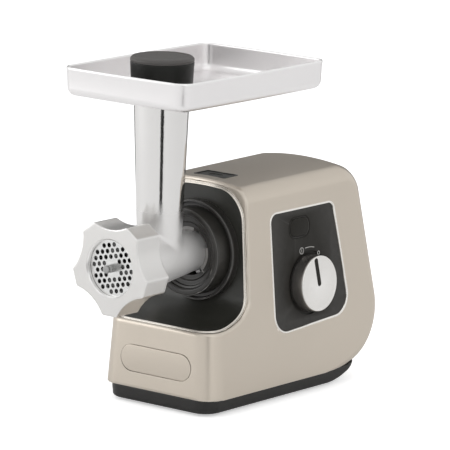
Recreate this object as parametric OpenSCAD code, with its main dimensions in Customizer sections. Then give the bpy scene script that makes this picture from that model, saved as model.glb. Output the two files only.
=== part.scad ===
// Electric meat grinder: a motor housing with a gear train, and a metal head with its tray.
// Origin at the table, below the middle of the object. +Z is up, -Y is the front, where the meat leaves,
// and the controls are on the +X side. Millimetres.

/* [Whole] */
// Length from the auger's front pin to the back of the housing
overall_l = 352.6; // [352:0.2:353]
// Height of the auger's axis above the table
hub_z = 151.3; // [150:0.1:152]

/* [Housing] */
// Width of the silver shell where it meets the base
shell_w = 143.8; // [142:0.2:145]
// How far each side leans in, per millimetre of height
side_draft = 0.062; // [0.058:0.001:0.064]
// Length of the shell from its chin to its back
shell_l = 275.6; // [275:0.2:276]
// Height of the black base
base_h = 17; // [16.5:0.1:17.2]
// Height of the lip at the top of the chin
lip_z = 83.5; // [83:0.1:84]
// Height of the roof's middle at the front
roof_z = 223; // [221:0.5:224]
// How far the roof rises towards the back, per millimetre
roof_rise = 0.011; // [0.008:0.001:0.015]
// Radius of the roof's crown, from side to side
roof_crown_r = 280; // [250:5:320]
// Thickness of the shell's wall
wall = 2.4; // [2:0.1:2.8]

/* [Head] */
// Bore of the barrel at its front
bore_r = 28.2; // [28:0.1:28.4]
// Distance from the auger's axis back to where the feed tube stands
tube_y = -95.8; // [-97:0.1:-94]
// Radius of the holes in the perforated plate
plate_hole_r = 2.3; // [2:0.1:2.5]
// Distance between neighbouring plate holes
plate_pitch = 6.5; // [6.3:0.1:6.8]

/* [Tray] */
// Length of the tray
tray_l = 220.8; // [215:0.2:225]
// Height of the tray's rim above the table
tray_rim_z = 338.2; // [336:0.2:340]

/* [Motion] */
// How far the push button goes in
push_travel = 2.5; // [2:0.1:3]
// How far the release button goes down
release_travel = 3.5; // [3:0.1:3.6]

/* [Hidden] */
$fn = 64;
gap = 0.3;

// Places of the housing, front to back
front_end = -overall_l / 2;
rear_end = overall_l / 2;
chin_y = rear_end - shell_l;
chin_rise = 0.0446;
panel_y = -35.4;
lip_y = chin_y + 3;
apron_h = 28.5;
apron_power = 2.3;
band = 5;

// The back: a straight face that leans forward, and an arc below it
arc_r = 58;
arc_z = 75.4;
arc_y = rear_end - arc_r;
lean = atan(0.21);
shoulder_drop = 18;
front_corner_r = 21;
rear_corner_r = 12;
side_edge_r = 17;
rear_edge_r = 25;
crown_z = 150;

// The gear train, seen from the front: x, z of each axis
gear_module_1 = 1;
gear_module_2 = 1.5;
gear_module_3 = 2;
motor_teeth = 12;
first_teeth = 60;
first_small_teeth = 12;
second_teeth = 48;
second_small_teeth = 13;
output_teeth = 39;
gap_1 = gear_module_1 * (motor_teeth + first_teeth) / 2;
gap_2 = gear_module_2 * (first_small_teeth + second_teeth) / 2;
gap_3 = gear_module_3 * (second_small_teeth + output_teeth) / 2;
turn_2 = 238;
turn_1 = 8;
output_at = [0, hub_z];
second_at = output_at - [0, gap_3];
first_at = second_at + gap_2 * [cos(turn_2), sin(turn_2)];
motor_at = first_at + gap_1 * [cos(turn_1), sin(turn_1)];

// The head, front to back along the auger's axis
nut_front = -170.1;
nut_back = -136.4;
plate_front = -165.1;
plate_t = 5;
head_front = -159.8;
neck_back = -36;
pin_r = 3.95;
tail_r = 8;
tube_r_high = 27.15;
tray_floor_z = 309.5;
tray_y = -44.9;
tray_w = 155.8;
tray_bulge = 2.1;
tray_wall = 1.5;

// The control side
knob_y = 61;
knob_up = -1.3;
pointer_turn = 11;
panel_z = 113.7;
panel_tilt = 90 - atan(side_draft);
panel_sink = 1.2;
bezel_w = 2.2;
button_y = 47.6;
button_up = 56.3;
release_y = -10;
release_z = 217.2;
release_seat_z = release_z - release_travel - 0.3;
gland_z = 50;
foot_h = 2.5;
base_screws = [[-54, -50], [54, -50], [-54, 60], [54, 60]];

function half_w(z) = shell_w / 2 - side_draft * (z - base_h);
function roof_at(y) = roof_z + roof_rise * (y - panel_y);
function fit_roof(z, y) = base_h + (z - base_h) * (roof_at(y) - base_h) / (roof_z - base_h);
function crown_drop(x) = x * x / (2 * roof_crown_r);
function lean_y(d) = arc_y + (arc_r - d) * cos(lean);
function lean_z(d) = arc_z + (arc_r - d) * sin(lean);
function rear_at(z, d) = z > lean_z(d)
    ? lean_y(d) - tan(lean) * (z - lean_z(d))
    : arc_y + sqrt(max(0, pow(arc_r - d, 2) - pow(arc_z - z, 2)));

// A rounded rectangle, anticlockwise, with one radius at the front corners and one at the back, and
// w more points along the back
function outline(hw, y0, y1, r0, r1, n = 6, w = 0) = [
    for (i = [0 : n]) let (a = -90 + 90 * i / n) [hw - r0 + r0 * cos(a), y0 + r0 + r0 * sin(a)],
    for (i = [0 : n]) let (a = 90 * i / n) [hw - r1 + r1 * cos(a), y1 - r1 + r1 * sin(a)],
    for (i = [1 : 1 : w]) [(hw - r1) * (1 - 2 * i / (w + 1)), y1],
    for (i = [0 : n]) let (a = 90 + 90 * i / n) [-hw + r1 + r1 * cos(a), y1 - r1 + r1 * sin(a)],
    for (i = [0 : n]) let (a = 180 + 90 * i / n) [-hw + r0 + r0 * cos(a), y0 + r0 + r0 * sin(a)]
];

// One level of the shell, inset by d, and drawn in by k of the edge radii near the roof
function shell_ring(z, d, k) = [
    for (p = outline(
        half_w(z) - d - k * (side_edge_r - d),
        chin_y + chin_rise * (z - base_h) + d,
        rear_at(z, d) - k * (rear_edge_r - d),
        front_corner_r - d, rear_corner_r - d - k * 6, w = 5))
    [p[0], p[1], fit_roof(z, p[1]) - crown_drop(p[0]) * max(0, z - crown_z) / (roof_z - crown_z)]
];

// The last ring of the roof, narrowed to the share s of its width
function roof_ring(d, s) = [
    for (p = shell_ring(roof_z - d, d, 1)) [p[0] * s, p[1], p[2] + crown_drop(p[0]) - crown_drop(p[0] * s)]
];

function shell_rings(d) = [
    shell_ring(base_h - (d > 0 ? 2 : 0), d, 0),
    for (a = [15 : 15 : 90]) shell_ring(arc_z - (arc_r - d) * cos(a), d, 0),
    shell_ring(lean_z(d), d, 0),
    shell_ring(140, d, 0),
    for (t = [0 : 15 : 90])
        shell_ring(roof_z - shoulder_drop + (shoulder_drop - d) * sin(t), d, 1 - cos(t)),
    for (s = [0.7, 0.4, 0.1]) roof_ring(d, s)
];

// The concave sweep from the chin's lip up to the upright front, moved k back and down
function apron(k) = [
    for (q = [0 : 7.5 : 90])
        [lip_y + (panel_y - lip_y) * pow(sin(q), 2 / apron_power) + k,
         lip_z + apron_h - apron_h * pow(cos(q), 2 / apron_power) - k]
];

module loft(rings) {
    n = len(rings[0]);
    m = len(rings);
    sides = [
        for (k = [0 : m - 2], j = [0 : n - 1])
            let (a = k * n + j, b = k * n + (j + 1) % n)
            each [[a, a + n, b + n], [a, b + n, b]]
    ];
    bottom = [for (j = [0 : n - 1]) j];
    top = [for (j = [n - 1 : -1 : 0]) (m - 1) * n + j];
    polyhedron([for (ring = rings) each ring], concat(sides, [bottom, top]));
}

module along_x(x0, x1) {
    translate([x0, 0, 0]) rotate([90, 0, 90]) linear_extrude(x1 - x0) children();
}

module along_y(y0, y1) {
    translate([0, y1, 0]) rotate([90, 0, 0]) linear_extrude(y1 - y0) children();
}

// A body of revolution about an axis along Y through at = [x, z]; its outline is [radius, y]
module turned(at, points) {
    translate([at[0], 0, at[1]]) rotate([-90, 0, 0]) rotate_extrude() polygon(points);
}

module round_box(x, y, r) {
    square([x - 2 * r, y], center = true);
    square([x, y - 2 * r], center = true);
    for (sx = [-1, 1], sy = [-1, 1]) translate([sx * (x / 2 - r), sy * (y / 2 - r)]) circle(r);
}

module disc(at, r, y0, y1, fn = 64) {
    translate([at[0], y0, at[1]]) rotate([-90, 0, 0]) cylinder(h = y1 - y0, r = r, $fn = fn);
}

// Open air in front of the sweep
module front_air(k) {
    along_x(-90, 90)
        polygon(concat([[-150, lip_z - k]], apron(k), [[panel_y + k, 260], [-150, 260]]));
}

module opening_face() {
    hull() {
        for (s = [-1, 1]) translate([s * (half_w(189.4) - 6.9 - 25), 189.4]) circle(25);
        translate([0, 191]) circle(25);
        polygon([[-half_w(92) + 6.9, 92], [half_w(92) - 6.9, 92], [0, 177]]);
    }
}

// The window in the silver front that the black panel fills
module opening() {
    union() {
        along_y(-150, 0) opening_face();
        translate([0, 0, 60]) linear_extrude(40)
            polygon([[-53, lip_y + 4.4], [53, lip_y + 4.4], [57, -75], [59.5, -60],
                     [60.3, -25], [-60.3, -25], [-59.5, -60], [-57, -75]]);
    }
}

// The control panel's outline, with its first axis pointing down and its second to the back
module panel_outline(grow) {
    hull() {
        translate([-66.3, 9.6]) circle(8 + grow);
        translate([-66.3, 94]) circle(8 + grow);
        translate([21.2, 101.2]) circle(19 + grow);
        translate([26, 23.4]) circle(18.5 + grow);
    }
}

module on_panel(y, up) {
    translate([half_w(panel_z), y, panel_z]) rotate([0, panel_tilt, 0]) translate([-up, 0, 0]) children();
}

module main_shell() {
    color("#c9bfb0") resize([0, 0, 0]) difference() {
        union() {
            difference() {
                loft(shell_rings(0));
                loft(shell_rings(wall));
            }
            for (p = base_screws) translate([p[0], p[1], base_h]) {
                cylinder(h = 22, r = 4.5, $fn = 16);
                translate([p[0] > 0 ? 3 : -15, -1.2, 0]) cube([12, 2.4, 20]);
            }
        }
        front_air(band);
        on_panel(0, 0) translate([0, 0, -12]) linear_extrude(24) panel_outline(bezel_w);
        along_y(chin_y - 5, chin_y + 1.9) translate([0, 46.5]) hull()
            for (s = [-1, 1]) translate([s * 31.25, 0]) circle(13.75, $fn = 32);
        translate([0, release_y, 205]) cube([40.2, 24.2, 60], center = true);
        for (row = [0 : 6], s = [-1, 1])
            translate([s * 26 - 20, 120, 100 + 9 * row]) cube([40, 60, 3.4]);
        disc([0, gland_z], 6, 140, 180, 24);
        for (p = base_screws) translate([p[0], p[1], base_h - 1]) cylinder(h = 20, r = 1.7, $fn = 16);
    }
}

module base_profile() {
    polygon(concat(
        [[-110, foot_h], [95, foot_h]],
        [for (y = [103 : 8 : 143]) [y, foot_h + 69.3 - sqrt(pow(69.3, 2) - pow(y - 95, 2))]],
        [for (y = [140 : -5 : 120]) [y, arc_z - sqrt(pow(arc_r + gap, 2) - pow(y - arc_y, 2))]],
        [[115, base_h], [-110, base_h]]));
}

module base_tray() {
    color("#2e2b29") difference() {
        union() {
            difference() {
                intersection() {
                    along_x(-80, 80) base_profile();
                    translate([0, 25, 0]) linear_extrude(40) round_box(133.2, 242.6, 18);
                }
                translate([0, 7, foot_h + 2.6]) linear_extrude(30) round_box(128, 201, 15);
                for (k = [-3 : 3]) translate([k * 12, 60, -1]) linear_extrude(10) round_box(5, 50, 2.4);
            }
            for (p = base_screws) translate([p[0], p[1], foot_h]) cylinder(h = base_h - foot_h, r = 6);
        }
        for (p = base_screws) translate([p[0], p[1], 0]) {
            cylinder(h = 30, r = 1.8);
            cylinder(h = 9, r = 4);
        }
    }
}

module rubber_feet() {
    color("#1c1b1a") for (x = [-46, 46], y = [-76, 84])
        translate([x, y, 0]) cylinder(h = foot_h, r1 = 8.5, r2 = 9.5);
}

module front_panel() {
    color("#2b2826") difference() {
        intersection() {
            opening();
            along_x(-90, 90) polygon(concat(
                [[lip_y + 1.6, lip_z - 4.6]], apron(1.6), [[panel_y + 1.6, 236], [panel_y + 4.6, 236]],
                [for (i = [len(apron(4.6)) - 1 : -1 : 0]) apron(4.6)[i]]));
        }
        disc(output_at, 30, -60, 0);
        disc(output_at, 50.35, -60, panel_y + 1.6);
        translate([-4, -50, 170]) cube([8, 40, 20]);
    }
}

module front_bezel() {
    color("#cfc6b9") resize([0, 0, 0]) difference() {
        intersection() {
            loft(shell_rings(0));
            difference() {
                front_air(band);
                front_air(0);
            }
        }
        opening();
    }
}

module hub_collar() {
    back = panel_y + 1.6;
    color("#242220") difference() {
        union() {
            turned(output_at, [[24.1, back], [50.3, back], [50.3, -41.6], [49.3, -42.6], [47.7, -42.6],
                [47.7, -38.6], [43.8, -38.6], [43.8, -57.5], [42.6, -58.7], [37, -58.7], [34, -52],
                [30, -52], [28, -50], [24.1, -50]]);
            for (a = [75, 195, 315]) translate([0, -44, hub_z]) rotate([90, 0, 0])
                rotate_extrude(angle = 60, start = a) translate([20.9, 0]) square([4, 6]);
        }
        translate([-3.8, -48, hub_z + 20]) cube([7.6, 20, 17]);
    }
}

module control_panel() {
    color("#2b2826") on_panel(0, 0) difference() {
        translate([0, 0, -5]) linear_extrude(5 - panel_sink) panel_outline(0);
        translate([-knob_up, knob_y, -2.8]) cylinder(h = 5, r = 32);
        translate([-knob_up, knob_y, -10]) cylinder(h = 20, r = 4.05);
        translate([-button_up, button_y, -10]) linear_extrude(20) round_box(19, 30.2, 8.4);
    }
}

module control_bezel() {
    color("#e6e2da") on_panel(0, 0) difference() {
        translate([0, 0, -5]) linear_extrude(5.4) panel_outline(bezel_w);
        translate([0, 0, -6]) linear_extrude(8) panel_outline(0);
    }
}

module badge_plate() {
    color("#c3b9aa") along_y(chin_y + 0.9, chin_y + 1.8) translate([0, 46.5]) hull()
        for (s = [-1, 1]) translate([s * 31.25, 0]) circle(13.2);
}

module release_surround() {
    color("#2b2826") translate([0, release_y, 0]) difference() {
        translate([0, 0, release_seat_z - 1.6]) linear_extrude(release_z + 7.4 - release_seat_z)
            round_box(40, 24, 3);
        translate([0, 0, release_seat_z]) linear_extrude(30) round_box(36, 20, 2);
        translate([-3.6, -22.4, release_seat_z - 10]) cube([7.2, 25, 14]);
    }
}

module cord_gland() {
    color("#1f1e1d") difference() {
        union() {
            disc([0, gland_z], 5.8, 156, 175);
            disc([0, gland_z], 9, 174.2, rear_end);
            disc([0, gland_z], 8, 156, 160);
        }
        disc([0, gland_z], 3.6, 150, 180);
    }
}

module housing_screws() {
    color("#8d8f92") for (p = base_screws) translate([p[0], p[1], 0]) {
        translate([0, 0, 6.8]) cylinder(h = 2.2, r = 3.4);
        translate([0, 0, 9]) cylinder(h = 24, r = 1.6);
    }
}

// A wall of the gearbox: round each gear axis, grown by g
module gearbox_outline(g) {
    translate(output_at) circle(43.5 + g);
    translate(second_at) circle(39.5 + g);
    translate(first_at) circle(33 + g);
    translate(motor_at) circle(11 + g);
}

screw_at = [
    for (a = [45, 135]) output_at + 47.5 * [cos(a), sin(a)],
    for (a = [15, 165]) second_at + 43.5 * [cos(a), sin(a)],
    for (a = [200, 280]) first_at + 37 * [cos(a), sin(a)]
];

module gearbox_housing() {
    color("#7d8084") difference() {
        union() {
            along_y(-27, 18) gearbox_outline(3);
            disc(output_at, 16, -34, -26);
            for (p = screw_at) disc(p, 4.5, -27, 18);
        }
        along_y(-23, 19) gearbox_outline(0);
        disc(output_at, 13, -40, -20);
        disc(second_at, 4, -30, -20);
        disc(first_at, 3, -30, -20);
        for (p = screw_at) disc(p, 1.6, 0, 19);
    }
}

module gearbox_cover() {
    color("#6f7276") difference() {
        union() {
            along_y(18, 22) gearbox_outline(3);
            for (p = screw_at) disc(p, 4.5, 18, 22);
        }
        disc(output_at, 12, 10, 30);
        disc(second_at, 4, 10, 30);
        disc(first_at, 3, 10, 30);
        disc(motor_at, 8, 10, 30);
        for (p = screw_at) disc(p, 1.9, 10, 30);
    }
}

module gearbox_screws() {
    color("#9a9ca0") for (p = screw_at) {
        disc(p, 1.6, 6, 23);
        disc(p, 3.4, 22, 24.4);
    }
}

module first_gear_pin() {
    color("#b9bcc0") disc(first_at, 3, -27, 22);
}

module second_gear_pin() {
    color("#b9bcc0") disc(second_at, 4, -27, 22);
}

module bush(at, r_out, r_in, y0, y1) {
    difference() {
        disc(at, r_out, y0, y1);
        disc(at, r_in, y0 - 1, y1 + 1);
    }
}

module output_front_bush() {
    color("#b0833f") bush(output_at, 13, 9.05, -34, -22);
}

module output_rear_bush() {
    color("#b0833f") bush(output_at, 12, 9.05, 17, 24);
}

module motor_stator() {
    color("#8a8d90") along_y(52, 92) translate(motor_at) difference() {
        circle(41);
        circle(34);
    }
    color("#8a8d90") along_y(52, 92) translate(motor_at) for (s = [0, 180]) rotate(s)
        difference() {
            intersection() {
                circle(34.4);
                translate([30, 0]) square([40, 30], center = true);
            }
            circle(25.2);
        }
}

module field_coils() {
    color("#a8642c") translate([motor_at[0], 0, motor_at[1]]) for (s = [-1, 1])
        translate([s * 25.2, 72, 0]) difference() {
            rotate([0, 90, 0]) linear_extrude(5, center = true) round_box(37.6, 56, 4);
            cube([20, 41, 31], center = true);
        }
}

module motor_front_bracket() {
    color("#74777b") difference() {
        union() {
            bush(motor_at, 44, 40, 24, 52);
            disc(motor_at, 40.5, 24, 27);
            disc(motor_at, 11, 22, 29);
        }
        disc(motor_at, 8, 20, 40);
        for (a = [0 : 60 : 300]) translate([motor_at[0], 20, motor_at[1]]) rotate([0, a, 0])
            translate([25, 0, 0]) rotate([-90, 0, 0]) cylinder(h = 10, r = 8);
        for (a = [30 : 60 : 330]) translate([motor_at[0], 41, motor_at[1]]) rotate([0, a, 0])
            cube([12, 14, 100], center = true);
    }
}

module motor_rear_bracket() {
    color("#74777b") difference() {
        union() {
            bush(motor_at, 44, 40, 92, 124);
            disc(motor_at, 40.5, 121, 124);
            disc(motor_at, 11, 116, 126);
        }
        disc(motor_at, 8, 110, 130);
        for (a = [0 : 60 : 300]) translate([motor_at[0], 118, motor_at[1]]) rotate([0, a, 0])
            translate([25, 0, 0]) rotate([-90, 0, 0]) cylinder(h = 10, r = 8);
    }
}

module motor_front_bearing() {
    color("#c4c7ca") bush(motor_at, 8, 4.05, 22, 29);
}

module motor_rear_bearing() {
    color("#c4c7ca") bush(motor_at, 8, 4.05, 117, 125);
}

module brush_holders() {
    color("#3a3a3c") translate([motor_at[0], 108, motor_at[1]]) for (s = [-1, 1]) {
        translate([0, 0, s * 29]) cube([10, 8, 20], center = true);
        translate([0, 0, s * 16.5]) cube([6, 6, 7], center = true);
    }
}

module rotor_shaft() {
    color("#b9bcc0") disc(motor_at, 4, 17, 128);
    color("#b9bcc0") disc(motor_at, 3, 8.4, 17);
}

module rotor_core() {
    color("#8a8d90") along_y(54, 90) translate(motor_at) difference() {
        circle(24.6);
        circle(4);
        for (a = [0 : 30 : 330]) rotate(a) translate([21.5, 0]) square([7, 3.4], center = true);
    }
}

module commutator() {
    color("#b0652c") along_y(101, 115) translate(motor_at) difference() {
        circle(12.5);
        circle(4);
        for (a = [0 : 15 : 345]) rotate(a) translate([12.5, 0]) square([1.6, 0.7], center = true);
    }
}

module cooling_fan() {
    color("#2f3a44") {
        difference() {
            disc(motor_at, 35, 31, 33);
            disc(motor_at, 4, 30, 50);
        }
        bush(motor_at, 8, 4, 31, 42);
        for (a = [0 : 40 : 320]) translate([motor_at[0], 32.5, motor_at[1]]) rotate([0, a, 0])
            translate([14, 0, -1]) cube([20, 9, 2]);
    }
}

// Half-angle of an involute tooth at radius r
function inv(a) = tan(a) * 180 / PI - a;
function tooth_half(r, m, teeth) =
    let (pitch_r = m * teeth / 2, base_r = pitch_r * cos(20), a = acos(min(1, base_r / max(r, base_r))))
    (90 / teeth - 0.06 / pitch_r * 180 / PI) + inv(20) - inv(a);
function gear_points(m, teeth) =
    let (pitch_r = m * teeth / 2, tip = pitch_r + 0.75 * m, root = pitch_r - m,
         base_r = max(root + 0.01, pitch_r * cos(20)))
    [for (k = [0 : teeth - 1]) let (c = 360 * k / teeth) each [
        for (rh = [[root, base_r, -1], [base_r, base_r, -1], [(base_r + tip) / 2, 0, -1], [tip, 0, -1],
                   [tip, 0, 1], [(base_r + tip) / 2, 0, 1], [base_r, base_r, 1], [root, base_r, 1]])
            let (a = c + rh[2] * tooth_half(rh[1] > 0 ? base_r : rh[0], m, teeth))
            rh[0] * [cos(a), sin(a)]
    ]];

module gear(at, m, teeth, y0, y1, turn) {
    along_y(y0, y1) translate(at) rotate(turn) polygon(gear_points(m, teeth));
}

// Turn of a gear that puts a gap where its partner, turned by first_turn, has a tooth
function mesh_turn(line, teeth_a, teeth_b, first_turn) =
    line + 180 + 180 / teeth_b - (first_turn - line) * teeth_a / teeth_b;
first_turn = mesh_turn(turn_1 + 180, motor_teeth, first_teeth, 0);
second_turn = mesh_turn(turn_2 - 180, first_small_teeth, second_teeth, first_turn);
output_turn = mesh_turn(90, second_small_teeth, output_teeth, second_turn);

module motor_pinion() {
    color("#c9ccd0") difference() {
        gear(motor_at, gear_module_1, motor_teeth, 8.5, 16.8, 0);
        disc(motor_at, 3, 0, 30);
    }
}

module first_gear() {
    color("#e4e0d2") difference() {
        union() {
            gear(first_at, gear_module_1, first_teeth, 9.5, 16, first_turn);
            gear(first_at, gear_module_2, first_small_teeth, -4, 9.5, first_turn);
        }
        disc(first_at, 3.05, -30, 30);
    }
}

module second_gear() {
    color("#e4e0d2") difference() {
        union() {
            gear(second_at, gear_module_2, second_teeth, -3, 7, second_turn);
            gear(second_at, gear_module_3, second_small_teeth, -21, -3, second_turn);
        }
        disc(second_at, 4.05, -30, 30);
    }
}

module output_gear() {
    color("#b6b9bd") difference() {
        gear(output_at, gear_module_3, output_teeth, -20, -6, output_turn);
        disc(output_at, 9, -30, 30);
    }
}

module drive_shaft() {
    color("#b9bcc0") difference() {
        union() {
            disc(output_at, 9, -36, 21);
            disc(output_at, 17.3, -49, -36);
        }
        disc(output_at, 13.5, -50, -37.4, 6);
    }
}

module auger_drive() {
    color("#e9e6df") difference() {
        disc(output_at, 13.1, -48.5, -38, 6);
        disc(output_at, 5, -50, -43);
    }
}

module tail_washer() {
    color("#ece9e2") bush(output_at, 14, 8.1, -63.2, -61.2);
}

module auger() {
    y0 = -153;
    flight_l = 88;
    color("#c6c8ca") {
        translate([0, y0, hub_z]) rotate([-90, 0, 0])
            linear_extrude(height = flight_l, twist = -760, scale = 0.6, slices = 36) union() {
                circle(10.5, $fn = 12);
                polygon([[0, -4.2], [26.6, -1.9], [27.4, 0], [26.6, 1.9], [0, 4.2]]);
            }
        disc(output_at, 9.5, -154.8, -152);
        disc(output_at, tail_r, -66, -50);
        disc(output_at, 4.98, -50.5, -43.2);
        translate([-4.8, -159.7, hub_z - 4.8]) cube([9.6, 6, 9.6]);
        turned(output_at, [[0, -159.7], [pin_r, -159.7], [pin_r, -171.4], [3, -171.8], [3, -173],
            [pin_r, -173.4], [pin_r, -175.4], [3.1, front_end], [0, front_end]]);
    }
}

module cutter_blade() {
    color("#c9cbcd") difference() {
        union() {
            disc(output_at, 10.5, -159.9, -155);
            for (a = [0 : 90 : 270]) translate([0, -155, hub_z]) rotate([90, a, 0]) linear_extrude(4.9)
                polygon([[0, -5], [24, -6.5], [26.6, -2], [26.2, 3], [12, 2.4], [0, 6]]);
        }
        translate([-4.85, -165, hub_z - 4.85]) cube([9.7, 15, 9.7]);
    }
}

module head_casting() {
    color("#cdccc8") difference() {
        union() {
            turned(output_at, [[0, head_front], [32.5, head_front], [32.5, -139], [32, -138], [25, -88.4],
                [20.5, -51.4], [20.5, neck_back], [0, neck_back]]);
            translate([0, tube_y, hub_z]) cylinder(h = 158.2, r1 = 21.35, r2 = tube_r_high);
            translate([0, tube_y, 300]) cylinder(h = 12.4, r = 25.2);
            for (a = [37.5, 157.5, 277.5]) translate([0, -38, hub_z]) rotate([90, 0, 0])
                rotate_extrude(angle = 15, start = a) translate([20, 0]) square([3.4, 5]);
        }
        turned(output_at, [[0, head_front - 1], [bore_r, head_front - 1], [bore_r, -150], [21.5, -88],
            [17, -60], [0, -60]]);
        disc(output_at, 8.05, -70, -40);
        disc(output_at, 18.5, -50, -30);
        translate([0, tube_y, hub_z]) cylinder(h = 161.2, r1 = 18.15, r2 = 23.6);
    }
    color("#cdccc8") translate([-1.4, -164.6, hub_z - 32]) cube([2.8, 5, 2.6]);
}

// Rows of holes in a triangular grid, kept between an inner and an outer circle
row_h = plate_pitch * sqrt(3) / 2;
plate_turn = 12.7;
plate_holes = [
    for (row = [-4 : 4], k = [-8 : 8])
        let (x = (k + (row % 2 == 0 ? 0 : 0.5)) * plate_pitch, z = row * row_h, r = norm([x, z]))
        if (r > 9 && r < 25) [x, z]
];

module perforated_plate() {
    color("#b4b6b8") difference() {
        disc(output_at, 30.8, plate_front, plate_front + plate_t);
        disc(output_at, pin_r + 0.06, -170, -150);
        for (p = plate_holes)
            disc([p[0] * cos(plate_turn) - p[1] * sin(plate_turn),
                hub_z + p[0] * sin(plate_turn) + p[1] * cos(plate_turn)], plate_hole_r, -170, -150);
        translate([-1.8, -170, hub_z - 34]) cube([3.6, 20, 5]);
    }
}

module ring_nut() {
    scallop_at = 85.4;
    color("#d9d8d4") difference() {
        intersection() {
            along_y(nut_front, nut_back) translate(output_at) difference() {
                rotate(-90) circle(46 / cos(36), $fn = 5);
                for (k = [0 : 4]) rotate(-90 + 36 + 72 * k) translate([scallop_at, 0]) circle(46.9);
            }
            turned(output_at, [[0, nut_front], [44, nut_front], [47.5, nut_front + 3.5], [47.5, nut_back - 2],
                [45.5, nut_back], [0, nut_back]]);
        }
        turned(output_at, [[0, -180], [29.4, -180], [29.4, nut_front], [28, nut_front + 1.4],
            [28, -165.4], [0, -165.4]]);
        disc(output_at, 33, -165.5, -130);
    }
}

// A ring of points with the long gaps between its corners filled in
function filled(ring) = [
    for (i = [0 : len(ring) - 1])
        let (a = ring[i], b = ring[(i + 1) % len(ring)], parts = norm(b - a) > 40 ? 6 : 1)
        for (k = [0 : parts - 1]) a + (b - a) * k / parts
];

function tray_ring(z, d) = [
    for (p = filled(outline(tray_w / 2 - d, tray_y - tray_l / 2 + d, tray_y + tray_l / 2 - d, 13, 13, 5)))
        let (u = p[0] / (tray_w / 2), v = (p[1] - tray_y) / (tray_l / 2))
        [p[0] + tray_bulge * u * (1 - v * v), p[1] + tray_bulge * v * (1 - u * u), z]
];

module tray() {
    color("#cfcecb") resize([0, 0, 0]) difference() {
        loft([
            for (t = [0 : 22.5 : 90]) tray_ring(tray_floor_z + 8.5 * (1 - cos(t)), 1.4 + 8.5 * (1 - sin(t))),
            tray_ring(tray_rim_z, 0)]);
        loft([for (t = [0 : 22.5 : 90])
            tray_ring(tray_floor_z + tray_wall + 7.5 * (1 - cos(t)), 2.9 + 7.5 * (1 - sin(t))),
            tray_ring(tray_rim_z + 1, tray_wall)]);
        translate([0, tube_y, 290]) cylinder(h = 40, r = 25.6, $fn = 48);
    }
}

module pusher() {
    color("#3a3a3c") translate([0, tube_y, 0]) rotate_extrude() polygon([
        [0, 190], [17.2, 190], [18.2, 192], [19.2, 300], [19.6, 313.2], [26, 313.2], [26, 311.4], [29, 311.4],
        [29.6, 313], [31.3, 345.5], [29, 345.5], [27.5, 318], [17, 316], [15.8, 194], [0, 194]]);
}

module pusher_cap() {
    color("#3a3a3c") translate([0, tube_y, 0]) rotate_extrude() polygon([
        [0, 344], [28.5, 344], [28.5, 345.5], [31.3, 345.5], [31.3, 348.4], [29.2, 350.9], [0, 350.9]]);
}

module knob_body() {
    color("#8f8c88") on_panel(knob_y, knob_up) difference() {
        translate([0, 0, -2.6]) cylinder(h = 14.4, r1 = 29.6, r2 = 27.9);
        translate([0, 0, 10]) cylinder(h = 5, r = 26.8);
        translate([0, 0, -5]) cylinder(h = 12.6, r = 4);
    }
}

module pointer_outline() {
    hull() {
        circle(2.7);
        translate([-23.8, 0]) circle(2.7);
    }
}

module knob_face() {
    color("#dcd7cf") on_panel(knob_y, knob_up) difference() {
        union() {
            translate([0, 0, 10]) cylinder(h = 1.8, r = 26.8);
            translate([0, 0, 11.8]) cylinder(h = 0.6, r1 = 27.8, r2 = 27.3);
        }
        rotate(pointer_turn) translate([0, 0, 11]) linear_extrude(3) pointer_outline();
    }
}

module knob_pointer() {
    color("#232120") on_panel(knob_y, knob_up) rotate(pointer_turn)
        translate([0, 0, 11]) linear_extrude(0.7) pointer_outline();
}

module knob_shaft() {
    color("#b9bcc0") on_panel(knob_y, knob_up) translate([0, 0, -16]) cylinder(h = 23.6, r = 4);
}

module rotary_switch() {
    color("#4a4a4d") on_panel(knob_y, knob_up) difference() {
        union() {
            translate([0, 0, -20]) cylinder(h = 12, r = 14);
            translate([0, 0, -8]) cylinder(h = 3, r = 9);
            translate([8, -6, -24]) cube([3, 4, 5]);
            translate([8, 2, -24]) cube([3, 4, 5]);
        }
        translate([0, 0, -16.3]) cylinder(h = 20, r = 4.05);
    }
}

module push_button() {
    color("#2e2b29") on_panel(button_y, button_up) {
        translate([0, 0, -6.5]) linear_extrude(6) round_box(18.2, 29.4, 8);
        translate([0, 0, -8]) linear_extrude(1.6) round_box(21, 32.4, 8);
        translate([0, 0, -13]) cylinder(h = 6, r = 3);
    }
}

module push_switch() {
    color("#4a4a4d") on_panel(button_y, button_up) difference() {
        translate([0, 0, -23]) linear_extrude(12) square([12, 20], center = true);
        translate([0, 0, -14.5 - push_travel]) cylinder(h = 20, r = 3.4);
    }
}

module circuit_board() {
    color("#2f5a3a") translate([-57, 40, 118]) cube([1.6, 62, 44]);
    color("#2f5a3a") translate([-55.4, 52, 128]) rotate([0, 90, 0]) cylinder(h = 12, r = 6);
    color("#2f5a3a") translate([-55.4, 70, 124]) cube([9, 18, 12]);
    color("#2f5a3a") translate([-55.4, 62, 146]) cube([7, 24, 8]);
}

module release_button() {
    color("#2e2b29") translate([0, release_y, release_z]) linear_extrude(5.2) round_box(35.2, 19.2, 1.8);
}

// Two short coils under the button, each a loft of wire rings along a helix
module release_spring() {
    steps = 30;
    sides = 6;
    wire_r = 0.4;
    ring_at = function (i) let (a = i * 36, z = release_z - 3.3 + i * 2.8 / steps)
        [for (j = [0 : sides - 1]) let (b = 360 * j / sides)
            [(3.4 + wire_r * cos(b)) * cos(a), (3.4 + wire_r * cos(b)) * sin(a), z - wire_r * sin(b)]];
    color("#c4c7ca") for (x = [-10, 10])
        translate([x, release_y, 0]) loft([for (i = [0 : steps]) ring_at(i)]);
}

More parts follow.
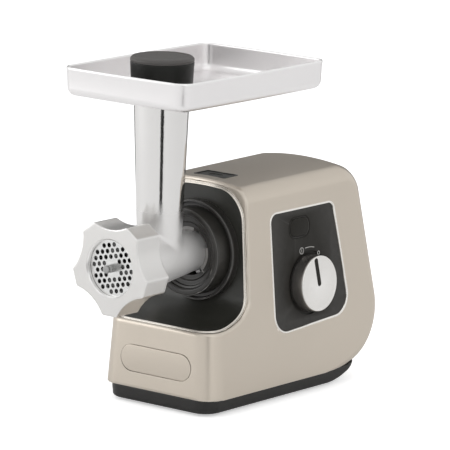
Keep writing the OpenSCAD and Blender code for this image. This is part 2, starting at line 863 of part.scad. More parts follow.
module latch_arm() {
    color("#3a3a3c") translate([-3, 0, 0]) {
        translate([0, -30.4, release_z - 2.8]) cube([6, 22.4, 2.8]);
        translate([0, -30.4, 177]) cube([6, 3, release_z - 177]);
        translate([0, -44, 177]) cube([6, 15, 5]);
    }
}

main_shell();
base_tray();
rubber_feet();
front_panel();
front_bezel();
hub_collar();
control_panel();
control_bezel();
badge_plate();
release_surround();
cord_gland();
housing_screws();
gearbox_housing();
gearbox_cover();
gearbox_screws();
first_gear_pin();
second_gear_pin();
output_front_bush();
output_rear_bush();
motor_stator();
field_coils();
motor_front_bracket();
motor_rear_bracket();
motor_front_bearing();
motor_rear_bearing();
brush_holders();
circuit_board();
rotary_switch();
push_switch();
rotor_shaft();
rotor_core();
commutator();
cooling_fan();
motor_pinion();
first_gear();
second_gear();
output_gear();
drive_shaft();
tail_washer();
auger();
auger_drive();
cutter_blade();
head_casting();
perforated_plate();
ring_nut();
tray();
pusher();
pusher_cap();
knob_body();
knob_face();
knob_pointer();
knob_shaft();
push_button();
release_button();
release_spring();
latch_arm();
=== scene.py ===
"""Electric meat grinder: the visual model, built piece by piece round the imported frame, in metres."""
import math

import bmesh
import bpy
import numpy as np
from mathutils import Matrix, Vector


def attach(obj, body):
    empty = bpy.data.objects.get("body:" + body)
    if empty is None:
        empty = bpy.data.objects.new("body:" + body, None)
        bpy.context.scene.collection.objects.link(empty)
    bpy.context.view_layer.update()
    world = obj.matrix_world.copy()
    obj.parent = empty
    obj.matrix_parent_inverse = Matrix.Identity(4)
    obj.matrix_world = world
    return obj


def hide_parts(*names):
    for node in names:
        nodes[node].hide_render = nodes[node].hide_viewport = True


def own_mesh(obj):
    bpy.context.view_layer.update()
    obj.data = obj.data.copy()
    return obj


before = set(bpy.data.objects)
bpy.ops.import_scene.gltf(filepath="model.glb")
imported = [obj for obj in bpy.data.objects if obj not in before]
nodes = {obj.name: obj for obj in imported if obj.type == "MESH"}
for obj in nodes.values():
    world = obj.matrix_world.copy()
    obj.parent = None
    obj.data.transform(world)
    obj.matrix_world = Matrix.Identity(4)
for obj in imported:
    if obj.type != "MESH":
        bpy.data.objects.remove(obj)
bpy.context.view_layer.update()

scene = bpy.context.scene

# ---------------------------------------------------------------- studio
# A pale paper floor, four softboxes under a sky that dims overhead, and two cards seen only in reflections:
# black in front for the dark line down the polished feed tube, grey behind for its edges and the roof. The
# camera stands 4 m off, a little above the tray.
turn, dip, roll = math.radians(38.84), math.radians(11.33), math.radians(1.18)
camera_distance = 4.1575
right = Vector((math.cos(turn), math.sin(turn), 0))
back = Vector((math.sin(turn) * math.cos(dip), -math.cos(turn) * math.cos(dip), math.sin(dip)))
above = back.cross(right)
aim = right * 0.01969 + Vector((0, -0.0254, 0.17409))
camera_right = right * math.cos(roll) + above * math.sin(roll)
camera_up = above * math.cos(roll) - right * math.sin(roll)
pose = Matrix((camera_right, camera_up, back)).transposed().to_4x4()
pose.translation = aim + back * camera_distance
camera_data = bpy.data.cameras.new("camera")
camera_data.lens, camera_data.sensor_width = 336.7, 36
camera_data.clip_end = 30
camera = bpy.data.objects.new("camera", camera_data)
camera.matrix_world = pose
scene.collection.objects.link(camera)
scene.camera = camera
scene.view_settings.view_transform = "Standard"


def softbox(name, place, aim_at, width, height, power, colour=(1, 1, 1)):
    lamp = bpy.data.lights.new(name, "AREA")
    lamp.shape, lamp.size, lamp.size_y = "RECTANGLE", width, height
    lamp.energy, lamp.color = power, colour
    lamp_object = bpy.data.objects.new(name, lamp)
    lamp_object.location = place
    lamp_object.rotation_euler = (Vector(place) - Vector(aim_at)).to_track_quat("Z", "Y").to_euler()
    scene.collection.objects.link(lamp_object)


middle = (0, -0.02, 0.16)
softbox("left_softbox", (-1.9, -1.5, 0.9), middle, 1.3, 1.8, 10)
softbox("right_softbox", (1.7, -1.1, 0.8), middle, 1.1, 1.6, 2)
softbox("top_softbox", (0.2, -0.3, 2.1), middle, 1.8, 1.8, 4)
softbox("back_softbox", (-0.6, 2.0, 1.1), middle, 1.6, 1.2, 0.6)

world = bpy.data.worlds.new("studio")
scene.world = world
world.use_nodes = True
horizon_light, zenith_light = 0.94, 0.75


def mesh_piece(name, points, faces):
    """An object at the origin from points in metres and faces."""
    mesh = bpy.data.meshes.new(name)
    mesh.from_pydata([tuple(map(float, p)) for p in points], [], [tuple(map(int, f)) for f in faces])
    mesh.update()
    piece = bpy.data.objects.new(name, mesh)
    scene.collection.objects.link(piece)
    return piece


class Tree:
    """Adds nodes to a tree, with settings by name and inputs given as values or as other nodes' outputs."""

    def __init__(self, tree):
        self.tree = tree

    def plug(self, socket, value):
        if isinstance(value, bpy.types.NodeSocket):
            self.tree.links.new(value, socket)
        else:
            socket.default_value = value

    def add(self, kind, inputs=(), **settings):
        node = self.tree.nodes.new(kind)
        for key, value in settings.items():
            setattr(node, key, value)
        for socket, value in dict(inputs).items():
            self.plug(node.inputs[socket], value)
        return node

    def sockets(self, inputs, outputs):
        """Name the inputs, as name: (kind, value), and the outputs, as name: kind, of a group's tree."""
        for label, kind in outputs.items():
            self.tree.interface.new_socket(label, in_out="OUTPUT", socket_type="NodeSocket" + kind)
        for label, (kind, value) in inputs.items():
            made = self.tree.interface.new_socket(label, in_out="INPUT", socket_type="NodeSocket" + kind)
            made.default_value = value
        self.inlet = self.tree.nodes.new("NodeGroupInput").outputs
        self.outlet = self.tree.nodes.new("NodeGroupOutput").inputs

    def math(self, operation, *values):
        return self.add("ShaderNodeMath", dict(enumerate(values)), operation=operation).outputs[0]

    def ramp(self, value, start, end, low=0.0, high=1.0):
        return self.add("ShaderNodeMapRange", {
            "Value": value, "From Min": start, "From Max": end, "To Min": low, "To Max": high}).outputs[0]

    def vector(self, axes):
        return self.add("ShaderNodeCombineXYZ", axes).outputs[0]


class Shader(Tree):
    """A material with its Principled BSDF; sockets that stay the same all over are set on it by name."""

    def __init__(self, name, colour, roughness, metallic=0.0, **constants):
        self.material = bpy.data.materials.new(name)
        self.material.use_nodes = True
        super().__init__(self.material.node_tree)
        self.surface = self.tree.nodes["Principled BSDF"]
        self.surface.inputs["Base Color"].default_value = (*colour, 1)
        self.surface.inputs["Roughness"].default_value = roughness
        self.surface.inputs["Metallic"].default_value = metallic
        for socket, value in constants.items():
            self.surface.inputs[socket.replace("_", " ")].default_value = value

    def effect(self, group, **inputs):
        node = self.add("ShaderNodeGroup", node_tree=group)
        for label, value in inputs.items():
            self.plug(node.inputs[label.replace("_", " ")], value)
        return node.outputs


sky = Tree(world.node_tree)
heading = sky.add("ShaderNodeSeparateXYZ", {0: sky.add("ShaderNodeTexCoord").outputs["Generated"]})
background = world.node_tree.nodes["Background"]
background.inputs["Color"].default_value = (1, 1, 1, 1)
sky.plug(background.inputs["Strength"],
         sky.ramp(heading.outputs["Z"], 0.35, 1.0, horizon_light, zenith_light))

for label, shade, distance, half, top in (("black_card", 0.01, 0.70, 0.075, 0.26),
                                          ("grey_card", 0.22, -1.00, 0.70, 0.90)):
    foot_of_card = Vector((math.sin(turn), -math.cos(turn), 0)) * distance
    card = mesh_piece(label, [foot_of_card + right * s * half + Vector((0, 0, h))
                              for s, h in ((-1, 0.0), (1, 0.0), (1, top), (-1, top))], [(0, 1, 2, 3)])
    card.data.materials.append(Shader(label + "_paint", (shade,) * 3, 0.95).material)
    card.visible_camera = card.visible_diffuse = card.visible_shadow = False

floor = mesh_piece("floor", [(-9, -9, 0), (9, -9, 0), (9, 9, 0), (-9, 9, 0)], [(0, 1, 2, 3)])
paper = Shader("white_paper", (0.92, 0.92, 0.92), 0.9)
paper.surface.inputs["Specular IOR Level"].default_value = 0.1
paper.surface.inputs["Emission Color"].default_value = (1, 1, 1, 1)
seen_directly = paper.add("ShaderNodeLightPath").outputs["Is Camera Ray"]
paper.plug(paper.surface.inputs["Emission Strength"], paper.math("MULTIPLY", seen_directly, 0.5))
floor.data.materials.append(paper.material)

# ---------------------------------------------------------------- silver shell
# The motor housing: a thin pressed shell in champagne-silver satin paint. It stands on the black base and
# is screwed up into it from below. The front is cut back in one concave sweep over the chin.
base_top = 0.017
half_width_low = 0.0719
draft = 0.062
front_end, rear_end = -0.1763, 0.1763
chin_y = rear_end - 0.2756
chin_rise = 0.0446
lip_y, lip_z = chin_y + 0.003, 0.0835
front_y = -0.0354
sweep_height, sweep_power = 0.0285, 2.3
roof_height, roof_rise, roof_crown = 0.223, 0.011, 0.28
window_top, window_low = 0.216, lip_y + 0.0075
heel_r, heel_y, heel_z = 0.058, rear_end - 0.058, 0.0754
lean = 0.21
hub_z = 0.1513
shell_wall = 0.0024


def round_max(a, b, radius):
    """The part of space inside both a and b, with the edge between them rounded."""
    u, v = np.maximum(a + radius, 0), np.maximum(b + radius, 0)
    return np.minimum(-radius, np.maximum(a, b)) + np.sqrt(u * u + v * v)


def half_width(z):
    return half_width_low - draft * (z - base_top)


def roof_at(y):
    return roof_height + roof_rise * (y - front_y)


def housing(x, y, z):
    """Distance outside the whole housing's outline, before its front is cut."""
    sides = (np.abs(x) - half_width(z)) * math.cos(math.atan(draft))
    chin = chin_y + chin_rise * (z - base_top) - y
    break_z = heel_z + heel_r * math.sin(math.atan(lean))
    arc = np.sqrt(np.maximum(1 - ((z - heel_z) / heel_r) ** 2, 0.0))
    slope = math.cos(math.atan(lean))
    straight = heel_y + heel_r * slope - lean * (z - break_z)
    rear = np.where(z > break_z, (y - straight) * slope, (y - heel_y - heel_r * arc) * np.maximum(arc, 0.35))
    roof = z - roof_at(y) + x * x / (2 * roof_crown)
    return round_max(round_max(sides, chin, 0.021), round_max(roof, rear, 0.025), 0.0135)


def front_air(x, y, z, sink=0.0):
    """Distance outside the open air in front of the sweep: positive in the housing, sink deeper."""
    y, z = y - sink, z + sink
    along = (y - lip_y) / (front_y - lip_y)
    down = (lip_z + sweep_height - z) / sweep_height
    a, d = np.maximum(along, 0), np.maximum(down, 0)
    reach = (a ** sweep_power + d ** sweep_power + 1e-12) ** (1 / sweep_power)
    slope_y = (a / reach) ** (sweep_power - 1) / (front_y - lip_y)
    slope_z = (d / reach) ** (sweep_power - 1) / sweep_height
    distance = (reach - 1) / np.sqrt(slope_y ** 2 + slope_z ** 2 + 1e-9)
    return np.where(reach < 1e-3, -0.03, distance)


def window(x, y, z):
    """Distance outside the opening that the black front fills."""
    sides = np.abs(x) - half_width(z) + 0.0069
    top = z - window_top + x * x / (2 * roof_crown)
    return round_max(round_max(sides, top, 0.025), window_low - y, 0.018)


def implicit_piece(name, distance, low, high, step):
    """A closed mesh where distance(x, y, z) is zero, one point to each cell the surface crosses."""
    block = 12
    low = np.array(low, float)
    counts = np.ceil((np.array(high) - low) / (step * block)).astype(int)
    corners = np.stack(np.meshgrid(*[np.arange(n) for n in counts], indexing="ij"), -1).reshape(-1, 3)
    centre = low + (corners + 0.5) * block * step
    near = np.abs(distance(*centre.T)) < block * step * 1.1
    offsets = np.stack(np.meshgrid(*[np.arange(block + 1)] * 3, indexing="ij"), -1)
    cells, values = [], []
    for corner in corners[near]:
        grid = corner * block + offsets
        value = distance(*np.moveaxis(low + grid * step, -1, 0))
        inside = value < 0
        if inside.all() or not inside.any():
            continue
        eight = np.stack([value[i:i + block, j:j + block, k:k + block]
                          for i in (0, 1) for j in (0, 1) for k in (0, 1)], -1)
        crossed = (eight < 0).any(-1) & (eight >= 0).any(-1)
        cells.append(grid[:-1, :-1, :-1][crossed])
        values.append(eight[crossed])
    cells, values = np.concatenate(cells), np.concatenate(values)
    size = int(counts.max()) * block + 3
    keys = (cells[:, 0] * size + cells[:, 1]) * size + cells[:, 2]
    order = np.argsort(keys)
    keys, cells, values = keys[order], cells[order], values[order]
    corner_at = np.array([(i, j, k) for i in (0, 1) for j in (0, 1) for k in (0, 1)], float)
    total, hits = np.zeros((len(cells), 3)), np.zeros((len(cells), 1))
    for a in range(8):
        for b in range(a + 1, 8):
            if np.abs(corner_at[a] - corner_at[b]).sum() != 1:
                continue
            va, vb = values[:, a:a + 1], values[:, b:b + 1]
            crosses = (va < 0) != (vb < 0)
            part = np.where(crosses, va / np.where(crosses, va - vb, 1), 0)
            total += np.where(crosses, corner_at[a] + (corner_at[b] - corner_at[a]) * part, 0)
            hits += crosses
    points = low + (cells + total / hits) * step
    tiny = step * 0.02
    for _ in range(3):
        value = distance(*points.T)
        slope = np.stack([(distance(*(points + tiny * axis).T) - distance(*(points - tiny * axis).T))
                          / (2 * tiny) for axis in np.eye(3)], -1)
        length = np.maximum((slope ** 2).sum(-1), 0.25)
        move = np.clip(value / length, -0.4 * step, 0.4 * step)
        points = points - slope * move[:, None]
    faces = []
    first = values[:, 0] < 0
    for axis, (other, third, corner) in enumerate([(1, 2, 4), (2, 0, 2), (0, 1, 1)]):
        last = values[:, corner] < 0
        for start_inside in (True, False):
            picked = np.nonzero((first == start_inside) & (last != start_inside))[0]
            steps = np.zeros((4, 3), int)
            steps[1, other] = steps[2, other] = steps[2, third] = steps[3, third] = -1
            if not start_inside:
                steps = steps[::-1]
            around = cells[picked][:, None, :] + steps
            wanted = (around[..., 0] * size + around[..., 1]) * size + around[..., 2]
            found = np.clip(np.searchsorted(keys, wanted), 0, len(keys) - 1)
            faces.append(found[(keys[found] == wanted).all(-1)])
    return mesh_piece(name, points, np.concatenate(faces))


def loft(rings, closed=True):
    """Points and faces of rings of points joined one to the next, with both ends closed."""
    n = len(rings[0])
    faces = [(k * n + j, k * n + (j + 1) % n, (k + 1) * n + (j + 1) % n, (k + 1) * n + j)
             for k in range(len(rings) - 1) for j in range(n)]
    if closed:
        faces += [tuple(range(n - 1, -1, -1)), tuple((len(rings) - 1) * n + j for j in range(n))]
    return [p for ring in rings for p in ring], faces


def outward(piece):
    """Turn every face of a closed mesh outwards, after merging its doubles."""
    work = bmesh.new()
    work.from_mesh(piece.data)
    bmesh.ops.remove_doubles(work, verts=work.verts, dist=1e-7)
    bmesh.ops.recalc_face_normals(work, faces=work.faces)
    work.to_mesh(piece.data)
    work.free()
    return piece


def settled(piece):
    """Replace a piece's mesh by the one its modifiers give, and drop them."""
    bpy.context.view_layer.update()
    done = bpy.data.meshes.new_from_object(piece.evaluated_get(bpy.context.evaluated_depsgraph_get()))
    piece.modifiers.clear()
    piece.data = done
    return piece


def cut(piece, *cutters, join=False):
    """Take each cutter away from the piece, or join it on."""
    for cutter in cutters:
        tool = piece.modifiers.new("cut", "BOOLEAN")
        tool.operation, tool.solver, tool.object = "UNION" if join else "DIFFERENCE", "EXACT", cutter
        settled(piece)
        bpy.data.objects.remove(cutter)
    return piece


def smooth(piece, angle=40):
    piece.data.shade_smooth()
    piece.data.set_sharp_from_angle(angle=math.radians(angle))
    return piece


def hull_ring(circles, inset=0.0, steps=10):
    """The outline round circles (x, y, r) that turn anticlockwise, moved inwards."""
    ring, count = [], len(circles)
    for i, (x, y, r) in enumerate(circles):
        before, after = Vector(circles[i - 1][:2]), Vector(circles[(i + 1) % count][:2])
        here = Vector((x, y))

        def leaving(a, b, ra, rb):
            line = b - a
            return math.atan2(line.y, line.x) - math.pi / 2 + math.asin((ra - rb) / line.length)

        start = leaving(before, here, circles[i - 1][2], r)
        end = leaving(here, after, r, circles[(i + 1) % count][2])
        while end < start - 1e-9:
            end += 2 * math.pi
        ring += [(x + (r - inset) * math.cos(start + (end - start) * k / steps),
                  y + (r - inset) * math.sin(start + (end - start) * k / steps)) for k in range(steps + 1)]
    return ring


def corners(half_x, low, high, radius):
    """The four corner circles of a rectangle centred on x = 0."""
    return [(-half_x, low, radius), (half_x, low, radius), (half_x, high, radius), (-half_x, high, radius)]


def disc(x, y, radius):
    """A round outline: two circles a hair's breadth apart."""
    return [(x - hair, y, radius), (x + hair, y, radius)]


# The panel's own frame: x runs down the shell's side, y to the back, z straight out of it
panel_z = 0.1137
knob_x, knob_y = 0.0013, 0.061
panel_circles = [(-0.0663, 0.0096, 0.008), (0.026, 0.0234, 0.0185), (0.0212, 0.1012, 0.019),
                 (-0.0663, 0.094, 0.008)]
on_side = (Matrix.Translation((half_width(panel_z), 0, panel_z))
           @ Matrix.Rotation(math.pi / 2 - math.atan(draft), 4, "Y"))
bezel_width = 0.0022
hair = 1e-4


def grown(circles, more):
    return [(x, y, r + more) for x, y, r in circles]


def shell_body(x, y, z):
    """The housing cut back by the sweep, with the rim's edge rounded and the window sunk into it."""
    in_front = front_air(x, y, z)
    body = round_max(housing(x, y, z), -in_front, 0.0028)
    body = round_max(body, -np.maximum(window(x, y, z) - 0.0034, in_front - 0.0056), 0.0008)
    return np.maximum(body, base_top - z)


def hollow(x, y, z):
    inside = np.maximum(housing(x, y, z) + shell_wall, 0.005 - front_air(x, y, z))
    return np.maximum(inside, base_top - 0.004 - z)


def slab(name, circles, low, high, place=Matrix(), edge=0.0, steps=10):
    """A plate over the outline round some circles, with the rim of its upper face rounded."""
    levels = [(0, low), (0, high - edge)]
    levels += [(edge * (1 - math.cos(math.radians(a))), high - edge * (1 - math.sin(math.radians(a))))
               for a in (18, 36, 54, 72, 90)] if edge else []
    rings = [[(x, y, h) for x, y in hull_ring(circles, inset, steps)] for inset, h in levels]
    points, faces = loft(rings)
    return outward(mesh_piece(name, [place @ Vector(p) for p in points], faces))


class Pattern(Tree):
    """A Geometry Nodes tree with named sizes that makes a repeated shape."""

    def __init__(self, name, **sizes):
        super().__init__(bpy.data.node_groups.new(name, "GeometryNodeTree"))
        kinds = {int: "Int", float: "Float", tuple: "Vector"}
        self.sockets({label.replace("_", " "): (kinds[type(value)], value) for label, value in sizes.items()},
                     {"Geometry": "Geometry"})

    def line(self, count, start, step):
        """Points in a row from start, each a step further on; both are given by axis."""
        return self.add("GeometryNodeMeshLine", {
            "Count": count, "Start Location": self.vector(start), "Offset": self.vector(step)}).outputs[0]

    def copies(self, points, shape):
        return self.add("GeometryNodeInstanceOnPoints", {"Points": points, "Instance": shape}).outputs[0]

    def build(self, name, geometry, material):
        """End the tree and give its result as a plain mesh piece."""
        real = self.add("GeometryNodeRealizeInstances", {0: geometry})
        painted = self.add("GeometryNodeSetMaterial", {0: real.outputs[0], "Material": material})
        self.tree.links.new(painted.outputs[0], self.outlet[0])
        piece = mesh_piece(name, [(0, 0, 0)], [])
        modifier = piece.modifiers.new(name, "NODES")
        modifier.node_group = self.tree
        return settled(piece)


def surface_grain():
    """Fine relief and broad patches; Stretch draws the relief out into brush lines."""
    group = Tree(bpy.data.node_groups.new("surface_grain", "ShaderNodeTree"))
    group.sockets({"Scale": ("Float", 900.0), "Stretch": ("Vector", (1, 1, 1)),
                   "Patch Scale": ("Float", 25.0)},
                  {"Relief": "Float", "Patches": "Float"})
    place = group.add("ShaderNodeTexCoord").outputs["Object"]
    drawn = group.add("ShaderNodeVectorMath", {0: place, 1: group.inlet["Stretch"]}, operation="MULTIPLY")
    fine = group.add("ShaderNodeTexNoise", {"Vector": drawn.outputs[0], "Scale": group.inlet["Scale"],
                                            "Detail": 2.0})
    broad = group.add("ShaderNodeTexNoise", {"Vector": place, "Scale": group.inlet["Patch Scale"],
                                             "Detail": 3.0})
    group.plug(group.outlet["Relief"], fine.outputs[0])
    group.plug(group.outlet["Patches"], broad.outputs[0])
    return group.tree


def edge_wear_and_highlight():
    """A mask on outer edges, broken up by noise, where the colour is lightened: wear on most finishes, and a
    painted highlight on the hub collar's rims.
    """
    group = Tree(bpy.data.node_groups.new("edge_wear_and_highlight", "ShaderNodeTree"))
    group.sockets({"Reach": ("Float", 0.06), "Breakup": ("Float", 0.4)}, {"Mask": "Float"})
    sharp = group.add("ShaderNodeNewGeometry").outputs["Pointiness"]
    place = group.add("ShaderNodeTexCoord").outputs["Object"]
    noise = group.add("ShaderNodeTexNoise", {"Vector": place, "Scale": 160.0, "Detail": 2.0}).outputs[0]
    end = group.math("ADD", 0.52, group.inlet["Reach"])
    mask = group.ramp(sharp, 0.515, end)
    broken = group.math("SUBTRACT", 1.0, group.math("MULTIPLY", noise, group.inlet["Breakup"]))
    group.plug(group.outlet["Mask"], group.math("MULTIPLY", mask, broken))
    return group.tree


grain_effect, wear_and_highlight_effect = surface_grain(), edge_wear_and_highlight()


def finish(name, colour, roughness, metallic=0.0, tone=0.06, vary=0.05, scale=900.0, relief=0.05,
           stretch=(1, 1, 1), patch=25.0, wear_and_highlight_colour=None, reach=0.06, **constants):
    """A material whose colour and roughness drift in broad patches, with fine relief and edges lightened by
    wear, and on the hub collar by a painted highlight.
    """
    look = Shader(name, colour, roughness, metallic, **constants)
    grain = look.effect(grain_effect, Scale=scale, Stretch=stretch, Patch_Scale=patch)
    darker, lighter = ((*(c * k for c in colour), 1) for k in (1 - tone, 1 + tone))
    shade = look.add("ShaderNodeMix", {0: grain["Patches"], 6: darker, 7: lighter}, data_type="RGBA")
    shade = shade.outputs[2]
    if wear_and_highlight_colour:
        mask = look.effect(wear_and_highlight_effect, Reach=reach)["Mask"]
        shade = look.add("ShaderNodeMix", {0: mask, 6: shade, 7: (*wear_and_highlight_colour, 1)}, data_type="RGBA").outputs[2]
    look.plug(look.surface.inputs["Base Color"], shade)
    mixed = look.math("ADD", look.math("MULTIPLY", grain["Patches"], 0.6),
                      look.math("MULTIPLY", grain["Relief"], 0.4))
    look.plug(look.surface.inputs["Roughness"],
              look.ramp(mixed, 0.3, 0.7, roughness - vary, roughness + vary))
    bump = look.add("ShaderNodeBump", {"Strength": relief, "Distance": 0.0004, "Height": grain["Relief"]})
    look.plug(look.surface.inputs["Normal"], bump.outputs[0])
    return look


def dress(piece, look, body, replaced=()):
    """Give a finished piece its material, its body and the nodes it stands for."""
    piece.data.materials.clear()
    piece.data.materials.append(look.material)
    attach(piece, body)
    if replaced:
        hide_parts(*replaced)
    return piece


silver = finish("satin_silver_paint", (0.60, 0.54, 0.465), 0.33, 0.9, tone=0.025, vary=0.03, scale=2600.0,
                relief=0.10, patch=14.0, wear_and_highlight_colour=(0.78, 0.73, 0.66), reach=0.1)
shell = implicit_piece("silver_shell", shell_body, (-0.08, -0.108, 0.014), (0.08, 0.184, 0.231), 0.00163)
cut(shell, implicit_piece("shell_hollow", hollow, (-0.082, -0.11, 0.008), (0.082, 0.186, 0.236), 0.006))

badge_z, badge_half, badge_r = 0.0465, 0.03125, 0.0132
release_y, release_z = -0.010, 0.2172
gland_z = 0.050
facing_front = Matrix.Rotation(math.pi / 2, 4, "X")
badge_circles = [(-badge_half, badge_z, badge_r), (badge_half, badge_z, badge_r)]
release_circles = corners(0.0171, release_y - 0.0091, release_y + 0.0091, 0.003)
cut(shell,
    slab("panel_pocket", grown(panel_circles, bezel_width), -0.012, 0.012, on_side),
    slab("badge_pocket", grown(badge_circles, 0.0006), 0.0966, 0.11, facing_front),
    slab("release_pocket", release_circles, 0.2, 0.25),
    slab("gland_hole", disc(0, gland_z, 0.006), -0.19, -0.14, facing_front))

slots = Pattern("cooling_slots", Rows=7, Pitch=0.009, Low=0.1017, Height=0.0034, Length=0.040, Apart=0.052)
column = slots.line(slots.inlet["Rows"], {"Y": 0.15, "Z": slots.inlet["Low"]}, {"Z": slots.inlet["Pitch"]})
pair, ends = [slots.line(2, {"X": slots.math("MULTIPLY", slots.inlet[size], -0.5)}, {"X": slots.inlet[size]})
              for size in ("Apart", "Length")]
rounded_end = slots.add("GeometryNodeMeshCylinder", {
    "Vertices": 16, "Radius": slots.math("MULTIPLY", slots.inlet["Height"], 0.5), "Depth": 0.06})
lying = slots.add("GeometryNodeTransform", {0: rounded_end.outputs["Mesh"], "Rotation": (math.pi / 2, 0, 0)})
tips = slots.add("GeometryNodeRealizeInstances", {0: slots.copies(ends, lying.outputs[0])})
slot_hull = slots.add("GeometryNodeConvexHull", {0: tips.outputs[0]})
up = slots.copies(column, slots.copies(pair, slot_hull.outputs[0]))
cut(shell, slots.build("slot_cutters", up, silver.material))
dress(smooth(shell, 50), silver, "chassis", ["main_shell"])

# ---------------------------------------------------------------- front bezel
# A moulded ring round the black front, made of the same alloy-coloured plastic as the shell and pressed into
# it, yet painted lighter and glossier than the shell: a painted highlight along the rim. It has a narrow bead
# at its inner edge, a groove and a broader land outside.
def sweep_line(sink=0.0, count=900):
    """Points (y, z) of the front's upright section from the lip to the top of the window, and normals."""
    q = np.linspace(0, math.pi / 2, count)
    y = lip_y + (front_y - lip_y) * np.sin(q) ** (2 / sweep_power)
    z = lip_z + sweep_height - sweep_height * np.cos(q) ** (2 / sweep_power)
    y = np.concatenate([[lip_y - 0.01], y, [front_y]])
    z = np.concatenate([[lip_z], z, [0.225]])
    length = np.concatenate([[0], np.cumsum(np.hypot(np.diff(y), np.diff(z)))])
    even = np.linspace(0, length[-1], 3 * count)
    y, z = np.interp(even, length, y), np.interp(even, length, z)
    dy, dz = np.gradient(y), np.gradient(z)
    size = np.hypot(dy, dz)
    normal_y, normal_z = -dz / size, dy / size
    return y - normal_y * sink, z - normal_z * sink, normal_y, normal_z


def window_half(y, z, grow=0.0):
    """Half the window's width where the front passes through (y, z), and whether it is open there."""
    inner, outer = y * 0, y * 0 + 0.08
    for _ in range(30):
        middle = (inner + outer) / 2
        is_in = window(middle, y, z) < grow
        inner, outer = np.where(is_in, middle, inner), np.where(is_in, outer, middle)
    return inner, window(0.0, y, z) < grow


def window_loop(spacing=0.001):
    """Evenly spaced points round the window's edge, with the front's normal at each."""
    y, z, ny, nz = sweep_line()
    half, is_open = window_half(y, z)
    side = np.stack([half, y, z, ny * 0, ny, nz], -1)[is_open]
    mirrored = side[::-1] * np.array([-1, 1, 1, 1, 1, 1])
    loop = np.concatenate([side, mirrored, side[:1]])
    length = np.concatenate([[0], np.cumsum(np.linalg.norm(np.diff(loop[:, :3], axis=0), axis=1))])
    count = int(length[-1] / spacing)
    even = np.arange(count) * length[-1] / count
    loop = np.stack([np.interp(even, length, loop[:, k]) for k in range(6)], -1)
    for _ in range(12):
        loop = (np.roll(loop, 1, 0) + 2 * loop + np.roll(loop, -1, 0)) / 4
    return loop[:, :3], loop[:, 3:]


def sweep(name, path, normals, section):
    """A closed section of (outwards, upwards) points carried round a closed path."""
    tangent = np.roll(path, -1, 0) - np.roll(path, 1, 0)
    tangent /= np.linalg.norm(tangent, axis=1, keepdims=True)
    out = np.cross(tangent, normals)
    out /= np.linalg.norm(out, axis=1, keepdims=True)
    up = np.cross(out, tangent)
    if (out[:, 0] * path[:, 0]).sum() < 0:
        out = -out
    if (up * normals).sum() < 0:
        up = -up
    rings = [[p + o * a + u * b for a, b in section] for p, o, u in zip(path, out, up)]
    n, m = len(section), len(rings)
    faces = [(k * n + j, k * n + (j + 1) % n, (k + 1) % m * n + (j + 1) % n, (k + 1) % m * n + j)
             for k in range(m) for j in range(n)]
    return outward(mesh_piece(name, [p for ring in rings for p in ring], faces))


bezel_section = [(-0.0003, -0.003), (-0.0003, -0.0004), (0.0, 0.0004), (0.0005, 0.0008), (0.0011, 0.0006),
                 (0.0014, 0.0001), (0.0017, -0.0003), (0.0021, -0.0003), (0.0023, 0.0), (0.0026, 0.0003),
                 (0.0031, 0.0003), (0.00335, 0.0), (0.00335, -0.003)]
window_path, window_normals = window_loop()
bezel = sweep("front_bezel_ring", window_path, window_normals, bezel_section)
# A lighter, glossier copy of the shell's paint: a painted highlight along the rim.
bright = finish("bright_bezel_finish", (0.74, 0.70, 0.64), 0.2, 0.95, tone=0.02, vary=0.03, scale=1800.0,
                relief=0.04)
dress(smooth(bezel, 60), bright, "chassis", ["front_bezel"])

# ---------------------------------------------------------------- black front
# One concave moulding in satin black plastic behind the bezel. It sweeps from the lip up to the hub, and the
# hub collar stands on it.
def front_sheet(name, sink, thickness, grow, columns=48, rows=110):
    """The front's skin inside the window, grown at its edge, sunk below the sweep and thickened."""
    half, is_open = window_half(*sweep_line()[:2], grow)
    y, z = (line[is_open] for line in sweep_line(sink)[:2])
    half = half[is_open]
    keep = np.unique(np.round(np.linspace(0, len(y) - 1, rows)).astype(int))
    across = np.linspace(-1, 1, columns)
    points = [(s * half[k], y[k], z[k]) for k in keep for s in across]
    faces = [(k * columns + j, k * columns + j + 1, (k + 1) * columns + j + 1, (k + 1) * columns + j)
             for k in range(len(keep) - 1) for j in range(columns - 1)]
    sheet = mesh_piece(name, points, faces)
    wall = sheet.modifiers.new("wall", "SOLIDIFY")
    wall.thickness, wall.offset = thickness, -1
    return outward(settled(sheet))


black = finish("satin_black_plastic", (0.024, 0.024, 0.020), 0.36, tone=0.15, scale=1500.0,
               relief=0.06, wear_and_highlight_colour=(0.07, 0.067, 0.064), reach=0.12)
front = front_sheet("black_front", 0.0015, 0.003, 0.001)
at_hub = Matrix.Translation((0, 0, hub_z)) @ Matrix.Rotation(-math.pi / 2, 4, "X")
cut(front,
    slab("hub_hole", disc(0, 0, 0.031), -0.08, 0, at_hub, steps=32),
    slab("latch_window", corners(0.003, 0.171, 0.189, 0.001), 0.0, 0.06, facing_front))
dress(smooth(front, 35), black, "chassis", ["front_panel"])

# ---------------------------------------------------------------- hub collar
# The round black collar that takes the head, with bayonet ledges inside. It is turned in satin black
# plastic and stands in two steps on the front, with a fine ridge on each step's rim.
def rounded(profile, radius, steps=4):
    """A profile of (radius, height) points with its corners rounded; a third value is a corner's own."""
    line = []
    for i, point in enumerate(profile):
        here = np.array(point[:2], float)
        size = point[2] if len(point) > 2 else radius
        if i in (0, len(profile) - 1) or size == 0:
            line.append(here)
            continue
        before, after = (np.array(profile[i + k][:2], float) - here for k in (-1, 1))
        trim = min(size, 0.48 * np.linalg.norm(before), 0.48 * np.linalg.norm(after))
        a = here + before / np.linalg.norm(before) * trim
        b = here + after / np.linalg.norm(after) * trim
        for t in np.linspace(0, 1, steps + 1):
            line.append((1 - t) ** 2 * a + 2 * t * (1 - t) * here + t * t * b)
    return line


